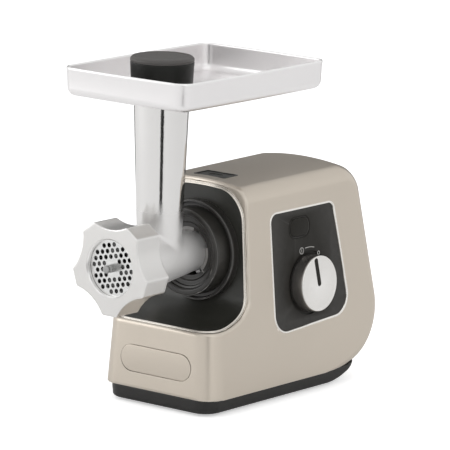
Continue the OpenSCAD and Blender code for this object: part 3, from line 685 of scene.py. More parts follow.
def turned(name, profile, place, radius=0.0006, segments=96):
    """A body of revolution about its own z axis; a profile that doesn't reach the axis closes on itself."""
    line = rounded(profile, radius)
    angles = [2 * math.pi * k / segments for k in range(segments)]
    rings = [[place @ Vector((r * math.cos(a), r * math.sin(a), h)) for a in angles] for r, h in line]
    points, faces = loft(rings, closed=False)
    if line[0][0] > 1e-6 and line[-1][0] > 1e-6:
        last = (len(rings) - 1) * segments
        faces += [(last + j, last + (j + 1) % segments, (j + 1) % segments, j) for j in range(segments)]
    return outward(mesh_piece(name, points, faces))


collar_back = front_y + 0.0016
collar = turned("hub_collar_ring", [
    (0.0241, -0.045), (0.0241, collar_back), (0.0503, collar_back), (0.0503, -0.0416), (0.0496, -0.0426),
    (0.0490, -0.0422), (0.0484, -0.0426), (0.0477, -0.0420), (0.0474, -0.0386), (0.0438, -0.0386),
    (0.0438, -0.0572), (0.0432, -0.0583), (0.0426, -0.0580), (0.0420, -0.0587), (0.0385, -0.0587),
    (0.0370, -0.0572), (0.0366, -0.0548), (0.0346, -0.0540), (0.0340, -0.0520), (0.0300, -0.0518),
    (0.0284, -0.0500), (0.0241, -0.0500), (0.0241, -0.045)], at_hub, 0.0005, 128)
ledge_starts = (75, 195, 315)
for number, start in enumerate(ledge_starts):
    arc = [math.radians(start + 4 * k) for k in range(16)]
    rings = [[(r * math.cos(a), y, hub_z + r * math.sin(a)) for r, y in
              ((0.0209, -0.050), (0.0245, -0.050), (0.0245, -0.044), (0.0209, -0.044))] for a in arc]
    cut(collar, outward(mesh_piece(f"ledge_{number}", *loft(rings))), join=True)
cut(collar, slab("latch_slot", corners(0.003, hub_z + 0.0208, hub_z + 0.0362, 0.0008), 0.028, 0.0481,
                 facing_front))
# Its edge colour is far lighter than the black: a painted highlight along the rims of the collar's steps.
collar_black = finish("turned_black_plastic", (0.024, 0.0225, 0.020), 0.3, tone=0.12, scale=1300.0,
                      relief=0.05, wear_and_highlight_colour=(0.30, 0.29, 0.28), reach=0.03)
dress(smooth(collar, 40), collar_black, "chassis", ["hub_collar"])

# ---------------------------------------------------------------- base and feet
# A black moulded tray closes the shell from below and curves up under the heel. Four rubber feet are
# pressed into it, and four screws go up through its towers into the shell.
foot_height = 0.0025
bend_y, bend_z = 0.095, 0.0718


def base_body(x, y, z):
    sides = np.abs(x) - 0.0666 + 0.0015 * np.clip((0.012 - z) / 0.01, 0, 1)
    ends = np.maximum(-0.0963 - y, y - 0.1463)
    under = np.where(y > bend_y, np.hypot(y - bend_y, z - bend_z) - (bend_z - foot_height), foot_height - z)
    heel = heel_r + 0.0003 - np.sqrt((y - heel_y) ** 2 + (z - heel_z) ** 2)
    top = np.where(y > 0.1145, heel, z - base_top)
    plan = round_max(sides, ends, 0.018)
    return np.maximum(round_max(plan, under, 0.003), top)


base = implicit_piece("base_tray_moulding", base_body, (-0.075, -0.105, -0.003), (0.075, 0.155, 0.045),
                      0.0016)
screw_places = [(-0.054, -0.050), (0.054, -0.050), (-0.054, 0.060), (0.054, 0.060)]
cut(base, slab("base_hollow", corners(0.049, -0.0785, 0.0925, 0.015), foot_height + 0.0026, 0.04))
for x, y in screw_places:
    cut(base, slab("tower", disc(x, y, 0.006), foot_height + 0.001, base_top), join=True)
    cut(base, slab("screw_well", disc(x, y, 0.004), -0.01, 0.009),
        slab("screw_way", disc(x, y, 0.0018), 0.005, 0.03))
for k in range(-3, 4):
    cut(base, slab("air_slot", [(k * 0.012, 0.0374, 0.0024), (k * 0.012, 0.0826, 0.0024)], -0.01, 0.01))
base_black = finish("base_black_plastic", (0.014, 0.0132, 0.0125), 0.42, tone=0.15, scale=1100.0,
                    relief=0.1, wear_and_highlight_colour=(0.05, 0.05, 0.048), Specular_IOR_Level=0.4)
dress(smooth(base, 40), base_black, "chassis", ["base_tray"])

foot_top = foot_height - 0.0002
foot = turned("foot", [
    (0, 0.0012), (0.0035, 0.0012), (0.004, 0.0), (0.0078, 0.0, 0.0008), (0.0085, 0.0006, 0.0006),
    (0.0095, foot_top), (0, foot_top)], Matrix(), 0.0004, 48)
rubber = finish("foot_rubber", (0.03, 0.03, 0.03), 0.75, tone=0.2, scale=1400.0, relief=0.25)
feet = Pattern("foot_places", Half_Width=0.046, Middle=0.004, Half_Length=0.080)
foot_ends = feet.line(2, {"Y": feet.math("SUBTRACT", feet.inlet["Middle"], feet.inlet["Half Length"])},
                      {"Y": feet.math("MULTIPLY", feet.inlet["Half Length"], 2.0)})
foot_sides = feet.line(2, {"X": feet.math("MULTIPLY", feet.inlet["Half Width"], -1.0)},
                       {"X": feet.math("MULTIPLY", feet.inlet["Half Width"], 2.0)})
foot_shape = feet.add("GeometryNodeObjectInfo", {"Object": foot})
four = feet.copies(foot_ends, feet.copies(foot_sides, foot_shape.outputs["Geometry"]))
dress(smooth(feet.build("rubber_feet_four", four, rubber.material), 40), rubber, "chassis",
      ["rubber_feet"])
bpy.data.objects.remove(foot)

# ---------------------------------------------------------------- control panel
# A black plate let into the shell's right side inside a thin bright frame. It carries the rotary knob, the
# push button and two small printed marks that show the knob's on position and its range.
panel_sink = 0.0012
button_y, button_up = 0.0476, 0.0563


def round_box(size_x, size_y, radius, x=0.0, y=0.0, more=0.0):
    """The four corner circles of a rounded rectangle, grown by more."""
    w, h = size_x / 2 - radius, size_y / 2 - radius
    return [(x + i * w, y + j * h, radius + more) for i, j in ((-1, -1), (1, -1), (1, 1), (-1, 1))]


button_hole = round_box(0.019, 0.0302, 0.0084, -button_up, button_y)
panel = slab("control_panel_plate", grown(panel_circles, 0.0006), -0.005, -panel_sink, on_side)
cut(panel,
    slab("knob_well", disc(knob_x, knob_y, 0.0322), -0.0028, 0.01, on_side, steps=40),
    slab("shaft_way", disc(knob_x, knob_y, 0.0041), -0.01, 0.01, on_side),
    slab("button_way", button_hole, -0.01, 0.01, on_side))
groove = round_box(0.0222, 0.0334, 0.0100, -button_up, button_y)
inner = round_box(0.0206, 0.0318, 0.0092, -button_up, button_y)
ditch = cut(slab("ditch", groove, -0.0018, 0.01, on_side), slab("land", inner, -0.01, 0.02, on_side))
cut(panel, ditch)
panel_black = finish("panel_black_plastic", (0.018, 0.0165, 0.0135), 0.3, tone=0.1, vary=0.04, scale=1700.0,
                     relief=0.04, wear_and_highlight_colour=(0.06, 0.058, 0.055), Specular_IOR_Level=0.1)
dress(smooth(panel, 35), panel_black, "chassis", ["control_panel"])


def outline_sweep(name, circles, section, place, steps=12):
    """A closed section carried round the outline of some circles, in the plane of place."""
    ring = np.array([(x, y, 0) for x, y in hull_ring(circles, 0, steps)])
    gaps = np.linalg.norm(np.roll(ring, -1, 0) - ring, axis=1)
    length = np.concatenate([[0], np.cumsum(gaps)])
    closed = np.concatenate([ring, ring[:1]])
    even = np.arange(0, length[-1] - 5e-4, 0.001)
    path = np.stack([np.interp(even, length, closed[:, k]) for k in range(3)], -1)
    middle_point = path.mean(0)
    normals = np.tile([0.0, 0.0, 1.0], (len(path), 1))
    piece = sweep(name, path - middle_point, normals, section)
    piece.data.transform(place @ Matrix.Translation(middle_point))
    return piece


frame_section = [(-0.0001, -0.005), (-0.0001, -0.0006), (0.0002, 0.0), (0.0005, 0.0004), (0.0009, 0.00045),
                 (0.0011, 0.0002), (0.0013, 0.0002), (0.0015, 0.0004), (0.0019, 0.00035), (0.0022, 0.0),
                 (0.0022, -0.005)]
panel_frame = outline_sweep("panel_frame", panel_circles, frame_section, on_side)
chrome = finish("bright_frame_metal", (0.86, 0.84, 0.80), 0.14, 1.0, tone=0.02, vary=0.03, scale=1500.0,
                relief=0.03)
dress(smooth(panel_frame, 60), chrome, "chassis", ["control_bezel"])

print_white = finish("printed_grey_ink", (0.55, 0.54, 0.52), 0.55, tone=0.05, scale=3000.0, relief=0.1)


def printed_line(name, points, width=0.0006):
    """A raised film of ink, 0.05 mm thick, along points of the panel's own plane."""
    points = [Vector((x, y, 0)) for x, y in points]
    closed = (points[0] - points[-1]).length < 1e-6
    rings = []
    for i, here in enumerate(points):
        before = points[i - 1] if i else (points[-2] if closed else here)
        after = points[i + 1] if i + 1 < len(points) else (points[1] if closed else here)
        side = (after - before).normalized().cross(Vector((0, 0, 1))) * width / 2
        rings.append([on_side @ (here + side * s + Vector((0, 0, h - panel_sink)))
                      for s, h in ((-1, -0.0002), (1, -0.0002), (1, 0.00005), (-1, 0.00005))])
    return outward(mesh_piece(name, *loft(rings, closed=not closed)))


def circle_points(x, y, radius, count=28):
    return [(x + radius * math.cos(2 * math.pi * k / count), y + radius * math.sin(2 * math.pi * k / count))
            for k in range(count + 1)]


arc_reach = 0.0355
sweep_angles = [math.radians(a) for a in range(-8, 17, 3)]
marks = [
    printed_line("on_mark_ring", circle_points(-0.0319, knob_y - 0.0105, 0.0031)),
    printed_line("on_mark_bar", [(-0.0335, knob_y - 0.0105), (-0.0303, knob_y - 0.0105)]),
    printed_line("range_arc", [(knob_x - arc_reach * math.cos(a), knob_y + arc_reach * math.sin(a))
                               for a in sweep_angles]),
    printed_line("off_mark_ring", circle_points(-0.0262, knob_y + 0.0165, 0.0017)),
]
for mark in marks:
    dress(mark, print_white, "chassis")

# ---------------------------------------------------------------- knob
# The speed knob: a dark metallic skirt, a spun aluminium face with a polished rim, and a black pointer let
# into the face. Its steel shaft turns the rotary switch behind the panel.
at_knob = on_side @ Matrix.Translation((knob_x, knob_y, 0))
skirt = turned("knob_skirt", [
    (0, -0.0016), (0.0254, -0.0016), (0.0256, -0.0026), (0.0296, -0.0026), (0.0295, -0.0018),
    (0.0280, 0.0110), (0.0276, 0.0118), (0.0268, 0.0118), (0.0268, 0.0100), (0, 0.0100)],
    at_knob, 0.0005, 128)
knob_side = finish("knob_skirt_metallic", (0.30, 0.285, 0.27), 0.26, 0.95, tone=0.05, vary=0.04,
                   scale=1200.0, relief=0.06, wear_and_highlight_colour=(0.6, 0.58, 0.55))
dress(smooth(skirt, 30), knob_side, "knob", ["knob_body"])

pointer_circles = [(-0.0238, 0, 0.0027), (0, 0, 0.0027)]
face = turned("knob_face_disc", [
    (0, 0.0101), (0.0267, 0.0101), (0.0267, 0.0119), (0.0278, 0.0119), (0.0277, 0.01215), (0.0274, 0.0124),
    (0.0262, 0.0124), (0.0259, 0.0121), (0, 0.0121)], at_knob, 0.0003, 128)
at_pointer = at_knob @ Matrix.Rotation(math.radians(11), 4, "Z")
cut(face, slab("pointer_slot", grown(pointer_circles, hair), 0.0109, 0.02, at_pointer, steps=16))
spun = finish("spun_aluminium", (0.80, 0.785, 0.76), 0.26, 1.0, tone=0.02, scale=1500.0,
              relief=0.0, wear_and_highlight_colour=(0.95, 0.94, 0.92))
into_knob = at_knob.inverted()
turn_back = spun.add("ShaderNodeMapping", {
    "Vector": spun.add("ShaderNodeTexCoord").outputs["Object"],
    "Location": into_knob.to_translation(), "Rotation": into_knob.to_euler()})
flat = spun.add("ShaderNodeVectorMath", {0: turn_back.outputs[0], 1: (1, 1, 0)}, operation="MULTIPLY")
reach_out = spun.add("ShaderNodeVectorMath", {0: flat.outputs[0]}, operation="LENGTH").outputs["Value"]
rings_noise = spun.add("ShaderNodeTexNoise", {
    "W": reach_out, "Scale": 2600.0, "Detail": 3.0}, noise_dimensions="1D")
spun_bump = spun.add("ShaderNodeBump", {
    "Strength": 0.16, "Distance": 0.0002, "Height": rings_noise.outputs[0]})
spun.plug(spun.surface.inputs["Normal"], spun_bump.outputs[0])
dress(smooth(face, 30), spun, "knob", ["knob_face"])
pointer = slab("knob_pointer_inlay", pointer_circles, 0.0106, 0.0119, at_pointer, 0.0003, 16)
dress(smooth(pointer, 35), panel_black, "knob", ["knob_pointer"])

# ---------------------------------------------------------------- buttons
# The push button starts the motor in reverse; the roof button frees the head. Both are satin black mouldings
# that slide in their openings on springs.
push = slab("push_button_cap", round_box(0.0182, 0.0294, 0.0080, -button_up, button_y), -0.0065, -0.0004,
            on_side, 0.0009)
flange = slab("push_flange", round_box(0.021, 0.0324, 0.008, -button_up, button_y), -0.008, -0.0062, on_side)
stem = slab("push_stem", round_box(0.006, 0.006, 0.0029, -button_up, button_y), -0.013, -0.007, on_side)
cut(push, flange, stem, join=True)
dress(smooth(push, 35), panel_black, "push_button_body", ["push_button"])

seat = release_z - 0.0035 - 0.0003
surround = slab("release_frame", round_box(0.040, 0.024, 0.003, 0, release_y), seat - 0.0016, 0.2231,
                Matrix(), 0.0005)
cut(surround,
    slab("release_well", round_box(0.036, 0.020, 0.002, 0, release_y), seat, 0.24),
    slab("latch_way", round_box(0.0072, 0.025, 0.0004, 0, release_y - 0.0099), 0.2034, 0.2174))
dress(smooth(surround, 35), black, "chassis", ["release_surround"])
roof_button = slab("release_button_cap", round_box(0.0352, 0.0192, 0.0018, 0, release_y), release_z, 0.2224,
                   Matrix(), 0.0007)
dish = slab("thumb_dish", round_box(0.016, 0.008, 0.0039, 0, release_y), 0.2218, 0.23)
cut(roof_button, dish)
dress(smooth(roof_button, 35), black, "release", ["release_button"])

coil_r, wire_r, coil_turns, coil_steps = 0.0034, 0.00035, 3, 90
coil_low, coil_high = release_z - 0.0033, release_z - 0.0005
coils = []
for coil_x in (-0.010, 0.010):
    wire_rings = []
    for k in range(coil_steps + 1):
        a = 2 * math.pi * coil_turns * k / coil_steps
        level = coil_low + (coil_high - coil_low) * k / coil_steps
        wire_rings.append([(coil_x + (coil_r + wire_r * math.cos(b)) * math.cos(a),
                            release_y + (coil_r + wire_r * math.cos(b)) * math.sin(a),
                            level + wire_r * math.sin(b)) for b in np.arange(8) * math.pi / 4])
    coils.append(outward(mesh_piece("release_coils", *loft(wire_rings))))
spring = cut(*coils, join=True)
spring_steel = finish("spring_steel", (0.56, 0.565, 0.57), 0.25, 1.0, tone=0.08, scale=600.0, relief=0.1)
dress(smooth(spring, 50), spring_steel, "release", ["release_spring"])
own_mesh(spring)

# ---------------------------------------------------------------- badge and cord inlet
# A blank stadium plate in the shell's own paint fills the recess on the chin. At the low back, a black
# bushing is pressed in where the mains lead would enter.
badge = slab("chin_plate", badge_circles, 0.0975, 0.0984, facing_front, 0.0004, 24)
dress(smooth(badge, 35), silver, "chassis", ["badge_plate"])
gland = turned("cord_bushing", [
    (0.0036, 0.160), (0.0036, 0.156), (0.008, 0.156), (0.008, 0.160), (0.0058, 0.1604), (0.0058, 0.1742),
    (0.009, 0.1742), (0.009, 0.1755, 0.0008), (0.0082, rear_end), (0.005, rear_end), (0.0036, 0.1752),
    (0.0036, 0.160)], Matrix.Translation((0, 0, gland_z)) @ Matrix.Rotation(-math.pi / 2, 4, "X"), 0.0004, 48)
dress(smooth(gland, 35), rubber, "chassis", ["cord_gland"])

# ---------------------------------------------------------------- grinding head
# One aluminium casting: a tapering barrel with a coarse thread at its mouth, three bayonet lugs on its neck,
# and a tall feed tube blended into it, machined bright, with a spigot on top for the tray.
tube_y = -0.0958
mouth_y, thread_end = -0.1598, -0.139
tube_low_r, tube_high_r = 0.02135, 0.02715
tray_floor = 0.3095
spigot_r, spigot_top = 0.0252, 0.3124
thread_pitch = 0.0045
barrel_y = np.array([mouth_y, thread_end, -0.138, -0.0884, -0.0514, -0.036])
barrel_r = np.array([0.0319, 0.0319, 0.0320, 0.0250, 0.0205, 0.0205])


def head_body(x, y, z):
    radius = np.sqrt(x * x + (z - hub_z) ** 2)
    around = np.arctan2(z - hub_z, x)
    phase = (y - mouth_y) / thread_pitch + around / (2 * math.pi)
    tooth = np.abs((phase % 1) - 0.5) * 4 - 1
    run = np.clip(np.minimum(y - mouth_y, thread_end - 0.001 - y) / 0.002, 0, 1)
    outer = np.interp(y, barrel_y, barrel_r) + run * (0.0006 * np.clip(tooth * 1.6, -1, 1))
    barrel = round_max((radius - outer) * 0.97, np.maximum(mouth_y - y, y - barrel_y[-1]), 0.0008)
    lugs = np.full_like(radius, 1.0)
    for middle_turn in (45, 165, 285):
        off = around - math.radians(middle_turn)
        off = np.abs(np.arctan2(np.sin(off), np.cos(off)))
        lug = np.maximum(off * 0.022 - 0.0028, radius - 0.0233)
        lugs = np.minimum(lugs, round_max(lug, np.maximum(-0.0429 - y, y + 0.0381), 0.0006))
    tube_r = tube_low_r + (tube_high_r - tube_low_r) * (z - hub_z) / (tray_floor - hub_z)
    off_axis = np.sqrt(x * x + (y - tube_y) ** 2)
    tube = round_max(off_axis - tube_r, np.maximum(hub_z - z, z - tray_floor), 0.0006)
    spigot = round_max(off_axis - spigot_r, np.maximum(0.3 - z, z - spigot_top), 0.0008)
    blended = -round_max(-tube, -barrel, 0.003)
    return np.minimum(np.minimum(blended, lugs), spigot)


head = implicit_piece("head_casting_body", head_body, (-0.034, -0.162, 0.116), (0.034, -0.034, 0.315), 0.0012)
along_tube = Matrix.Translation((0, tube_y, 0))
cut(head,
    turned("barrel_bore", [(0, -0.17), (0.0282, -0.17), (0.0282, -0.150), (0.0215, -0.088), (0.017, -0.060),
                           (0, -0.060)], at_hub, 0.0, 64),
    turned("tail_bore", [(0, -0.07), (0.00805, -0.07), (0.00805, -0.045), (0, -0.045)], at_hub, 0.0, 48),
    turned("neck_recess", [(0, -0.050), (0.0185, -0.050), (0.0185, -0.030), (0, -0.030)], at_hub, 0.0, 64),
    turned("tube_bore", [(0, hub_z), (0.01815, hub_z), (0.02355, 0.3110), (0.0242, 0.32), (0, 0.32)],
           along_tube, 0.0, 96))
cut(head, slab("plate_key", corners(0.0011, hub_z - 0.0317, hub_z - 0.0297, 0.0003), 0.1590, 0.1646,
               facing_front), join=True)
casting = finish("cast_aluminium_satin", (0.77, 0.76, 0.75), 0.42, 1.0, tone=0.03,
                 relief=0.08, patch=30.0, wear_and_highlight_colour=(0.92, 0.91, 0.9), reach=0.1)
height = casting.add("ShaderNodeSeparateXYZ", {
    0: casting.add("ShaderNodeTexCoord").outputs["Object"]}).outputs["Z"]
polish = casting.ramp(height, 0.186, 0.214, 0.42, 0.07)
marks_noise = casting.effect(grain_effect, Scale=700.0, Stretch=(1, 1, 0.06))
casting.plug(casting.surface.inputs["Roughness"], casting.math(
    "ADD", polish, casting.math("MULTIPLY", marks_noise["Relief"], 0.05)))
casting.plug(casting.surface.inputs["Metallic"], casting.ramp(height, 0.180, 0.192, 0.5, 1.0))
dress(smooth(head, 45), casting, "head", ["head_casting"])

# ---------------------------------------------------------------- ring nut
# The five-lobed nut holds the plate in the head. It is cast in aluminium, with crisp edges and an inside
# thread, and tumbled to a light satin.
nut_front, nut_back = -0.1701, -0.1364
lobe_reach, scoop_r, scoop_middle = 0.0470, 0.0469, 0.0854


def nut_body(x, y, z):
    z = z - hub_z
    lobes, scoops = np.full_like(x, -1.0), np.full_like(x, -1.0)
    for k in range(5):
        lobe, scoop = math.radians(-90 + 72 * k), math.radians(-54 + 72 * k)
        lobes = np.maximum(lobes, x * math.cos(lobe) + z * math.sin(lobe) - lobe_reach)
        gap = np.sqrt((x - scoop_middle * math.cos(scoop)) ** 2 + (z - scoop_middle * math.sin(scoop)) ** 2)
        scoops = np.maximum(scoops, scoop_r - gap)
    outline = round_max(lobes, scoops, 0.0014)
    ends = np.maximum(nut_front - y, y - nut_back)
    return round_max(outline, ends, 0.0010)


nut = implicit_piece("ring_nut_body", nut_body, (-0.05, -0.172, 0.100), (0.05, -0.134, 0.203), 0.00105)
thread_wall = [(0.0330 if k % 2 == 0 else 0.0327, -0.163 + k * thread_pitch / 2) for k in range(11)]
cut(nut,
    turned("nut_mouth", [(0, -0.18), (0.0294, -0.18), (0.0294, nut_front), (0.0280, nut_front + 0.0014),
                         (0.0280, -0.1640), (0, -0.1640)], at_hub, 0.0, 96),
    turned("nut_inside", [(0, -0.1655), (0.0330, -0.1655)] + thread_wall + [(0.0330, -0.13), (0, -0.13)],
           at_hub, 0.0, 96))
nut_metal = finish("tumbled_aluminium", (0.71, 0.70, 0.685), 0.32, 1.0, tone=0.03, scale=1100.0,
                   relief=0.08, patch=35.0, wear_and_highlight_colour=(0.93, 0.92, 0.91), reach=0.08)
dress(smooth(nut, 40), nut_metal, "nut", ["ring_nut"])

# ---------------------------------------------------------------- perforated plate, blade and auger
# The plate is hardened steel, ground flat, with a triangular grid of holes and a notch for the key. The
# four-armed blade and the cast auger behind it turn together.
plate_front, plate_thick, plate_r = -0.1651, 0.005, 0.0308
plate_steel = finish("ground_steel", (0.62, 0.62, 0.615), 0.24, 1.0, tone=0.03, vary=0.06, scale=500.0,
                     relief=0.07, stretch=(1, 1, 12), wear_and_highlight_colour=(0.8, 0.8, 0.79))
holes = Pattern("plate_holes", Pitch=0.0065, Hole=0.0023, Inner=0.009, Outer=0.025, Rows=9, Columns=17,
                Disc=plate_r, Thickness=plate_thick)
position = holes.add("GeometryNodeInputPosition").outputs[0]
row_height = holes.math("MULTIPLY", holes.inlet["Pitch"], math.sqrt(3) / 2)
grid = holes.add("GeometryNodeMeshGrid", {
    "Size X": holes.math("MULTIPLY", holes.inlet["Pitch"],
                         holes.math("SUBTRACT", holes.inlet["Columns"], 1.0)),
    "Size Y": holes.math("MULTIPLY", row_height, holes.math("SUBTRACT", holes.inlet["Rows"], 1.0)),
    "Vertices X": holes.inlet["Columns"], "Vertices Y": holes.inlet["Rows"]}).outputs["Mesh"]
row = holes.math("ROUND", holes.math("DIVIDE", holes.add(
    "ShaderNodeSeparateXYZ", {0: position}).outputs["Y"], row_height))
odd = holes.math("ABSOLUTE", holes.math("MODULO", row, 2.0))
shift = holes.vector({"X": holes.math("MULTIPLY", odd, holes.math("MULTIPLY", holes.inlet["Pitch"], 0.5))})
staggered = holes.add("GeometryNodeSetPosition", {0: grid, "Offset": shift}).outputs[0]
from_axis = holes.add("ShaderNodeVectorMath", {0: position}, operation="LENGTH").outputs["Value"]
outside = holes.math("ADD", holes.math("LESS_THAN", from_axis, holes.inlet["Inner"]),
                     holes.math("GREATER_THAN", from_axis, holes.inlet["Outer"]))
places = holes.add("GeometryNodeDeleteGeometry", {0: staggered, "Selection": outside}).outputs[0]
drill = holes.add("GeometryNodeMeshCylinder", {"Vertices": 24, "Radius": holes.inlet["Hole"], "Depth": 0.02})
drilled = holes.copies(places, drill.outputs["Mesh"])
blank = holes.add("GeometryNodeMeshCylinder", {"Vertices": 96, "Radius": holes.inlet["Disc"],
                                               "Depth": holes.inlet["Thickness"]})
centre_drill = holes.add("GeometryNodeMeshCylinder", {"Vertices": 48, "Radius": 0.00402, "Depth": 0.02})
all_drills = holes.add("GeometryNodeJoinGeometry")
for tool in (holes.add("GeometryNodeRealizeInstances", {0: drilled}).outputs[0],
             centre_drill.outputs["Mesh"]):
    holes.tree.links.new(tool, all_drills.inputs[0])
bored = holes.add("GeometryNodeMeshBoolean", operation="DIFFERENCE")
holes.tree.links.new(blank.outputs["Mesh"], bored.inputs["Mesh 1"])
holes.tree.links.new(all_drills.outputs[0], bored.inputs["Mesh 2"])
upright = holes.add("GeometryNodeTransform", {
    0: bored.outputs[0], "Translation": (0, plate_front + plate_thick / 2, hub_z),
    "Rotation": (math.pi / 2, -math.radians(12.7), 0)})
plate = holes.build("perforated_plate_disc", upright.outputs[0], plate_steel.material)
cut(plate, slab("key_notch", corners(0.0014, hub_z - 0.035, hub_z - 0.0294, 0.0004), 0.15, 0.18,
                facing_front))
dress(smooth(plate, 30), plate_steel, "plate", ["perforated_plate"])

pin_r = 0.00395
auger_steps, auger_sides = 180, 64
auger_start, auger_length, auger_twist = -0.153, 0.088, 760
flight_r, core_r, flight_width = 0.0274, 0.0105, 0.16
auger_rings = []
for k in range(auger_steps + 1):
    part = k / auger_steps
    y = auger_start + auger_length * part
    size, twist = 1 - 0.4 * part, math.radians(auger_twist * part)
    ring = []
    for j in range(auger_sides):
        a = 2 * math.pi * j / auger_sides
        fin = flight_r * math.exp(-(((a + math.pi) % (2 * math.pi) - math.pi) / flight_width) ** 2)
        ring.append((max(core_r, fin) * size, a - twist))
    auger_rings.append([(r * math.cos(a), y, hub_z + r * math.sin(a)) for r, a in ring])
auger = outward(mesh_piece("auger_screw", *loft(auger_rings)))
rear_axle = turned("auger_axle", [(0, -0.0662), (0.008, -0.0662), (0.008, -0.050), (0.00498, -0.0498),
                                  (0.00498, -0.0432), (0, -0.0432)], at_hub, 0.0005, 48)
front_pin = turned("auger_pin", [
    (0, -0.154), (0.0095, -0.154), (0.0095, -0.1548), (0.0046, -0.1550), (0.0046, -0.1597), (pin_r, -0.1600),
    (pin_r, -0.1712), (0.0030, -0.1718), (0.0030, -0.1730), (pin_r, -0.1736), (pin_r, -0.1752),
    (0.0031, front_end), (0, front_end)], at_hub, 0.0004, 64)
cut(auger, rear_axle, front_pin, join=True)
auger_metal = finish("auger_alloy", (0.36, 0.36, 0.355), 0.4, 1.0, tone=0.06, vary=0.08, scale=700.0,
                     relief=0.12, wear_and_highlight_colour=(0.85, 0.85, 0.84))
dress(smooth(auger, 40), auger_metal, "auger_body", ["auger"])

# ---------------------------------------------------------------- tray
# The food tray: one pressing of bright aluminium with slightly bowed sides, rounded corners and a rolled
# rim. It drops over the feed tube's spigot.
tray_y, tray_half_x, tray_half_y, tray_rim = -0.0449, 0.0779, 0.1104, 0.3382
tray_bulge, tray_wall, tray_corner = 0.0021, 0.0015, 0.013


def tray_ring(z, inset):
    ring = []
    w, h, r = tray_half_x - inset, tray_half_y - inset, max(tray_corner - inset, 0.003)
    for i, (sx, sy) in enumerate(((1, -1), (1, 1), (-1, 1), (-1, -1))):
        start = -90 + 90 * i
        for k in range(13):
            a = math.radians(start + 7.5 * k)
            ring.append((sx * (w - r) + r * math.cos(a), sy * (h - r) + r * math.sin(a)))
        end, nxt = ring[-1], ((1, -1), (1, 1), (-1, 1), (-1, -1))[(i + 1) % 4]
        b = math.radians(start + 90)
        goal = (nxt[0] * (w - r) + r * math.cos(b), nxt[1] * (h - r) + r * math.sin(b))
        ring += [(end[0] + (goal[0] - end[0]) * k / 12, end[1] + (goal[1] - end[1]) * k / 12)
                 for k in range(1, 12)]
    out = []
    for x, y in ring:
        u, v = x / tray_half_x, y / tray_half_y
        out.append((x + tray_bulge * u * (1 - v * v), tray_y + y + tray_bulge * v * (1 - u * u), z))
    return out


outer = [(0.0099 - 0.0085 * math.sin(t), tray_floor + 0.0085 * (1 - math.cos(t)))
         for t in np.linspace(0, math.pi / 2, 9)]
inner = [(0.0104 - 0.0075 * math.sin(t), tray_floor + tray_wall + 0.0075 * (1 - math.cos(t)))
         for t in np.linspace(0, math.pi / 2, 9)]
rim = [(0.0007, tray_rim - 0.004), (0.0001, tray_rim - 0.0026), (0.0, tray_rim - 0.0014),
       (0.0003, tray_rim - 0.0005), (0.0010, tray_rim), (0.0019, tray_rim - 0.0004),
       (0.0024, tray_rim - 0.0012), (0.0023, tray_rim - 0.0024)]
tray = outward(mesh_piece("tray_pressing", *loft([tray_ring(z, d) for d, z in outer + rim + inner[::-1]])))
cut(tray, turned("spigot_hole", [(0, 0.29), (0.0256, 0.29), (0.0256, 0.33), (0, 0.33)], along_tube, 0.0, 96))
tray_metal = finish("brushed_aluminium_sheet", (0.86, 0.845, 0.845), 0.34, 1.0, tone=0.02,
                    scale=700.0, relief=0.015, stretch=(1, 0.08, 1), patch=18.0, wear_and_highlight_colour=(0.93, 0.93, 0.92))
dress(smooth(tray, 50), tray_metal, "tray_body", ["tray"])

# ---------------------------------------------------------------- pusher
# The pusher is a hollow black plastic plunger with a wide grip and a fine moulded grain.
# A dark grey cap is pressed in and closes it at the top.
pusher = turned("pusher_plunger", [
    (0, 0.190), (0.0172, 0.190), (0.0182, 0.192), (0.0192, 0.300), (0.0196, 0.3132), (0.0260, 0.3132),
    (0.0260, 0.3114), (0.0290, 0.3114), (0.0296, 0.3130), (0.0312, 0.3448), (0.0309, 0.3455),
    (0.0290, 0.3455), (0.0275, 0.318), (0.017, 0.316), (0.0158, 0.194), (0, 0.194)], along_tube, 0.0008, 96)
grey = finish("pusher_black_plastic", (0.010, 0.0105, 0.009), 0.42, tone=0.1, scale=1100.0,
              relief=0.12, wear_and_highlight_colour=(0.05, 0.05, 0.05), Specular_IOR_Level=0.3)
dress(smooth(pusher, 35), grey, "pusher_body", ["pusher"])
cap = turned("pusher_cap_disc", [
    (0, 0.344), (0.0285, 0.344), (0.0285, 0.3456), (0.0312, 0.3456), (0.0313, 0.3484),
    (0.0292, 0.3509, 0.0016), (0.026, 0.3509), (0.0245, 0.3504), (0, 0.3504)], along_tube, 0.0008, 96)
cap_grey = finish("cap_grey_plastic", (0.065, 0.06, 0.056), 0.45, tone=0.1, scale=1100.0,
                  relief=0.12, wear_and_highlight_colour=(0.24, 0.235, 0.23))
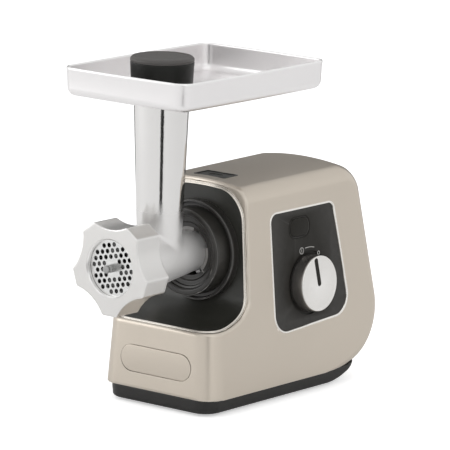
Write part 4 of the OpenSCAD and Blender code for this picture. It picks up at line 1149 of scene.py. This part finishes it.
dress(smooth(cap, 35), cap_grey, "pusher_body", ["pusher_cap"])

# ---------------------------------------------------------------- works inside
# The motor, gears, switches and fixings keep the frame's own shapes. Each gets the finish of its real
# counterpart: turned and ground steel, stamped laminations, varnished copper, sintered bronze and nylon.
works = {
    ("drawn_steel", (0.56, 0.565, 0.57), 0.25, 1.0, (1, 14, 1)): [
        "housing_screws", "gearbox_screws", "first_gear_pin", "second_gear_pin", "rotor_shaft", "knob_shaft",
        "motor_front_bearing", "motor_rear_bearing", "drive_shaft", "output_gear", "motor_pinion"],
    ("hardened_blade_steel", (0.16, 0.16, 0.16), 0.35, 1.0, (10, 1, 1)): ["cutter_blade"],
    ("die_cast_alloy", (0.42, 0.43, 0.44), 0.5, 1.0, (1, 1, 1)): [
        "gearbox_housing", "gearbox_cover", "motor_front_bracket", "motor_rear_bracket"],
    ("laminated_core_steel", (0.3, 0.31, 0.33), 0.45, 1.0, (1, 40, 1)): ["motor_stator", "rotor_core"],
    ("sintered_bronze", (0.55, 0.34, 0.14), 0.38, 1.0, (1, 1, 1)): ["output_front_bush", "output_rear_bush"],
    ("varnished_copper", (0.55, 0.22, 0.07), 0.3, 0.9, (1, 12, 1)): ["field_coils", "commutator"],
    ("natural_nylon", (0.72, 0.69, 0.6), 0.5, 0.0, (1, 1, 1)): [
        "first_gear", "second_gear", "auger_drive", "tail_washer"],
    ("dark_moulded_plastic", (0.04, 0.045, 0.05), 0.48, 0.0, (1, 1, 1)): [
        "brush_holders", "rotary_switch", "push_switch", "cooling_fan", "latch_arm"],
    ("green_board_lacquer", (0.03, 0.13, 0.06), 0.4, 0.0, (1, 1, 1)): ["circuit_board"],
}
for (label, colour, roughness, metallic, stretch), parts in works.items():
    look = finish(label, colour, roughness, metallic, tone=0.08, vary=0.07, scale=600.0, relief=0.15,
                  stretch=stretch, wear_and_highlight_colour=tuple(min(1.0, c * 1.5) for c in colour))
    for part in parts:
        for index in range(max(1, len(nodes[part].material_slots))):
            if nodes[part].material_slots:
                nodes[part].material_slots[index].material = look.material
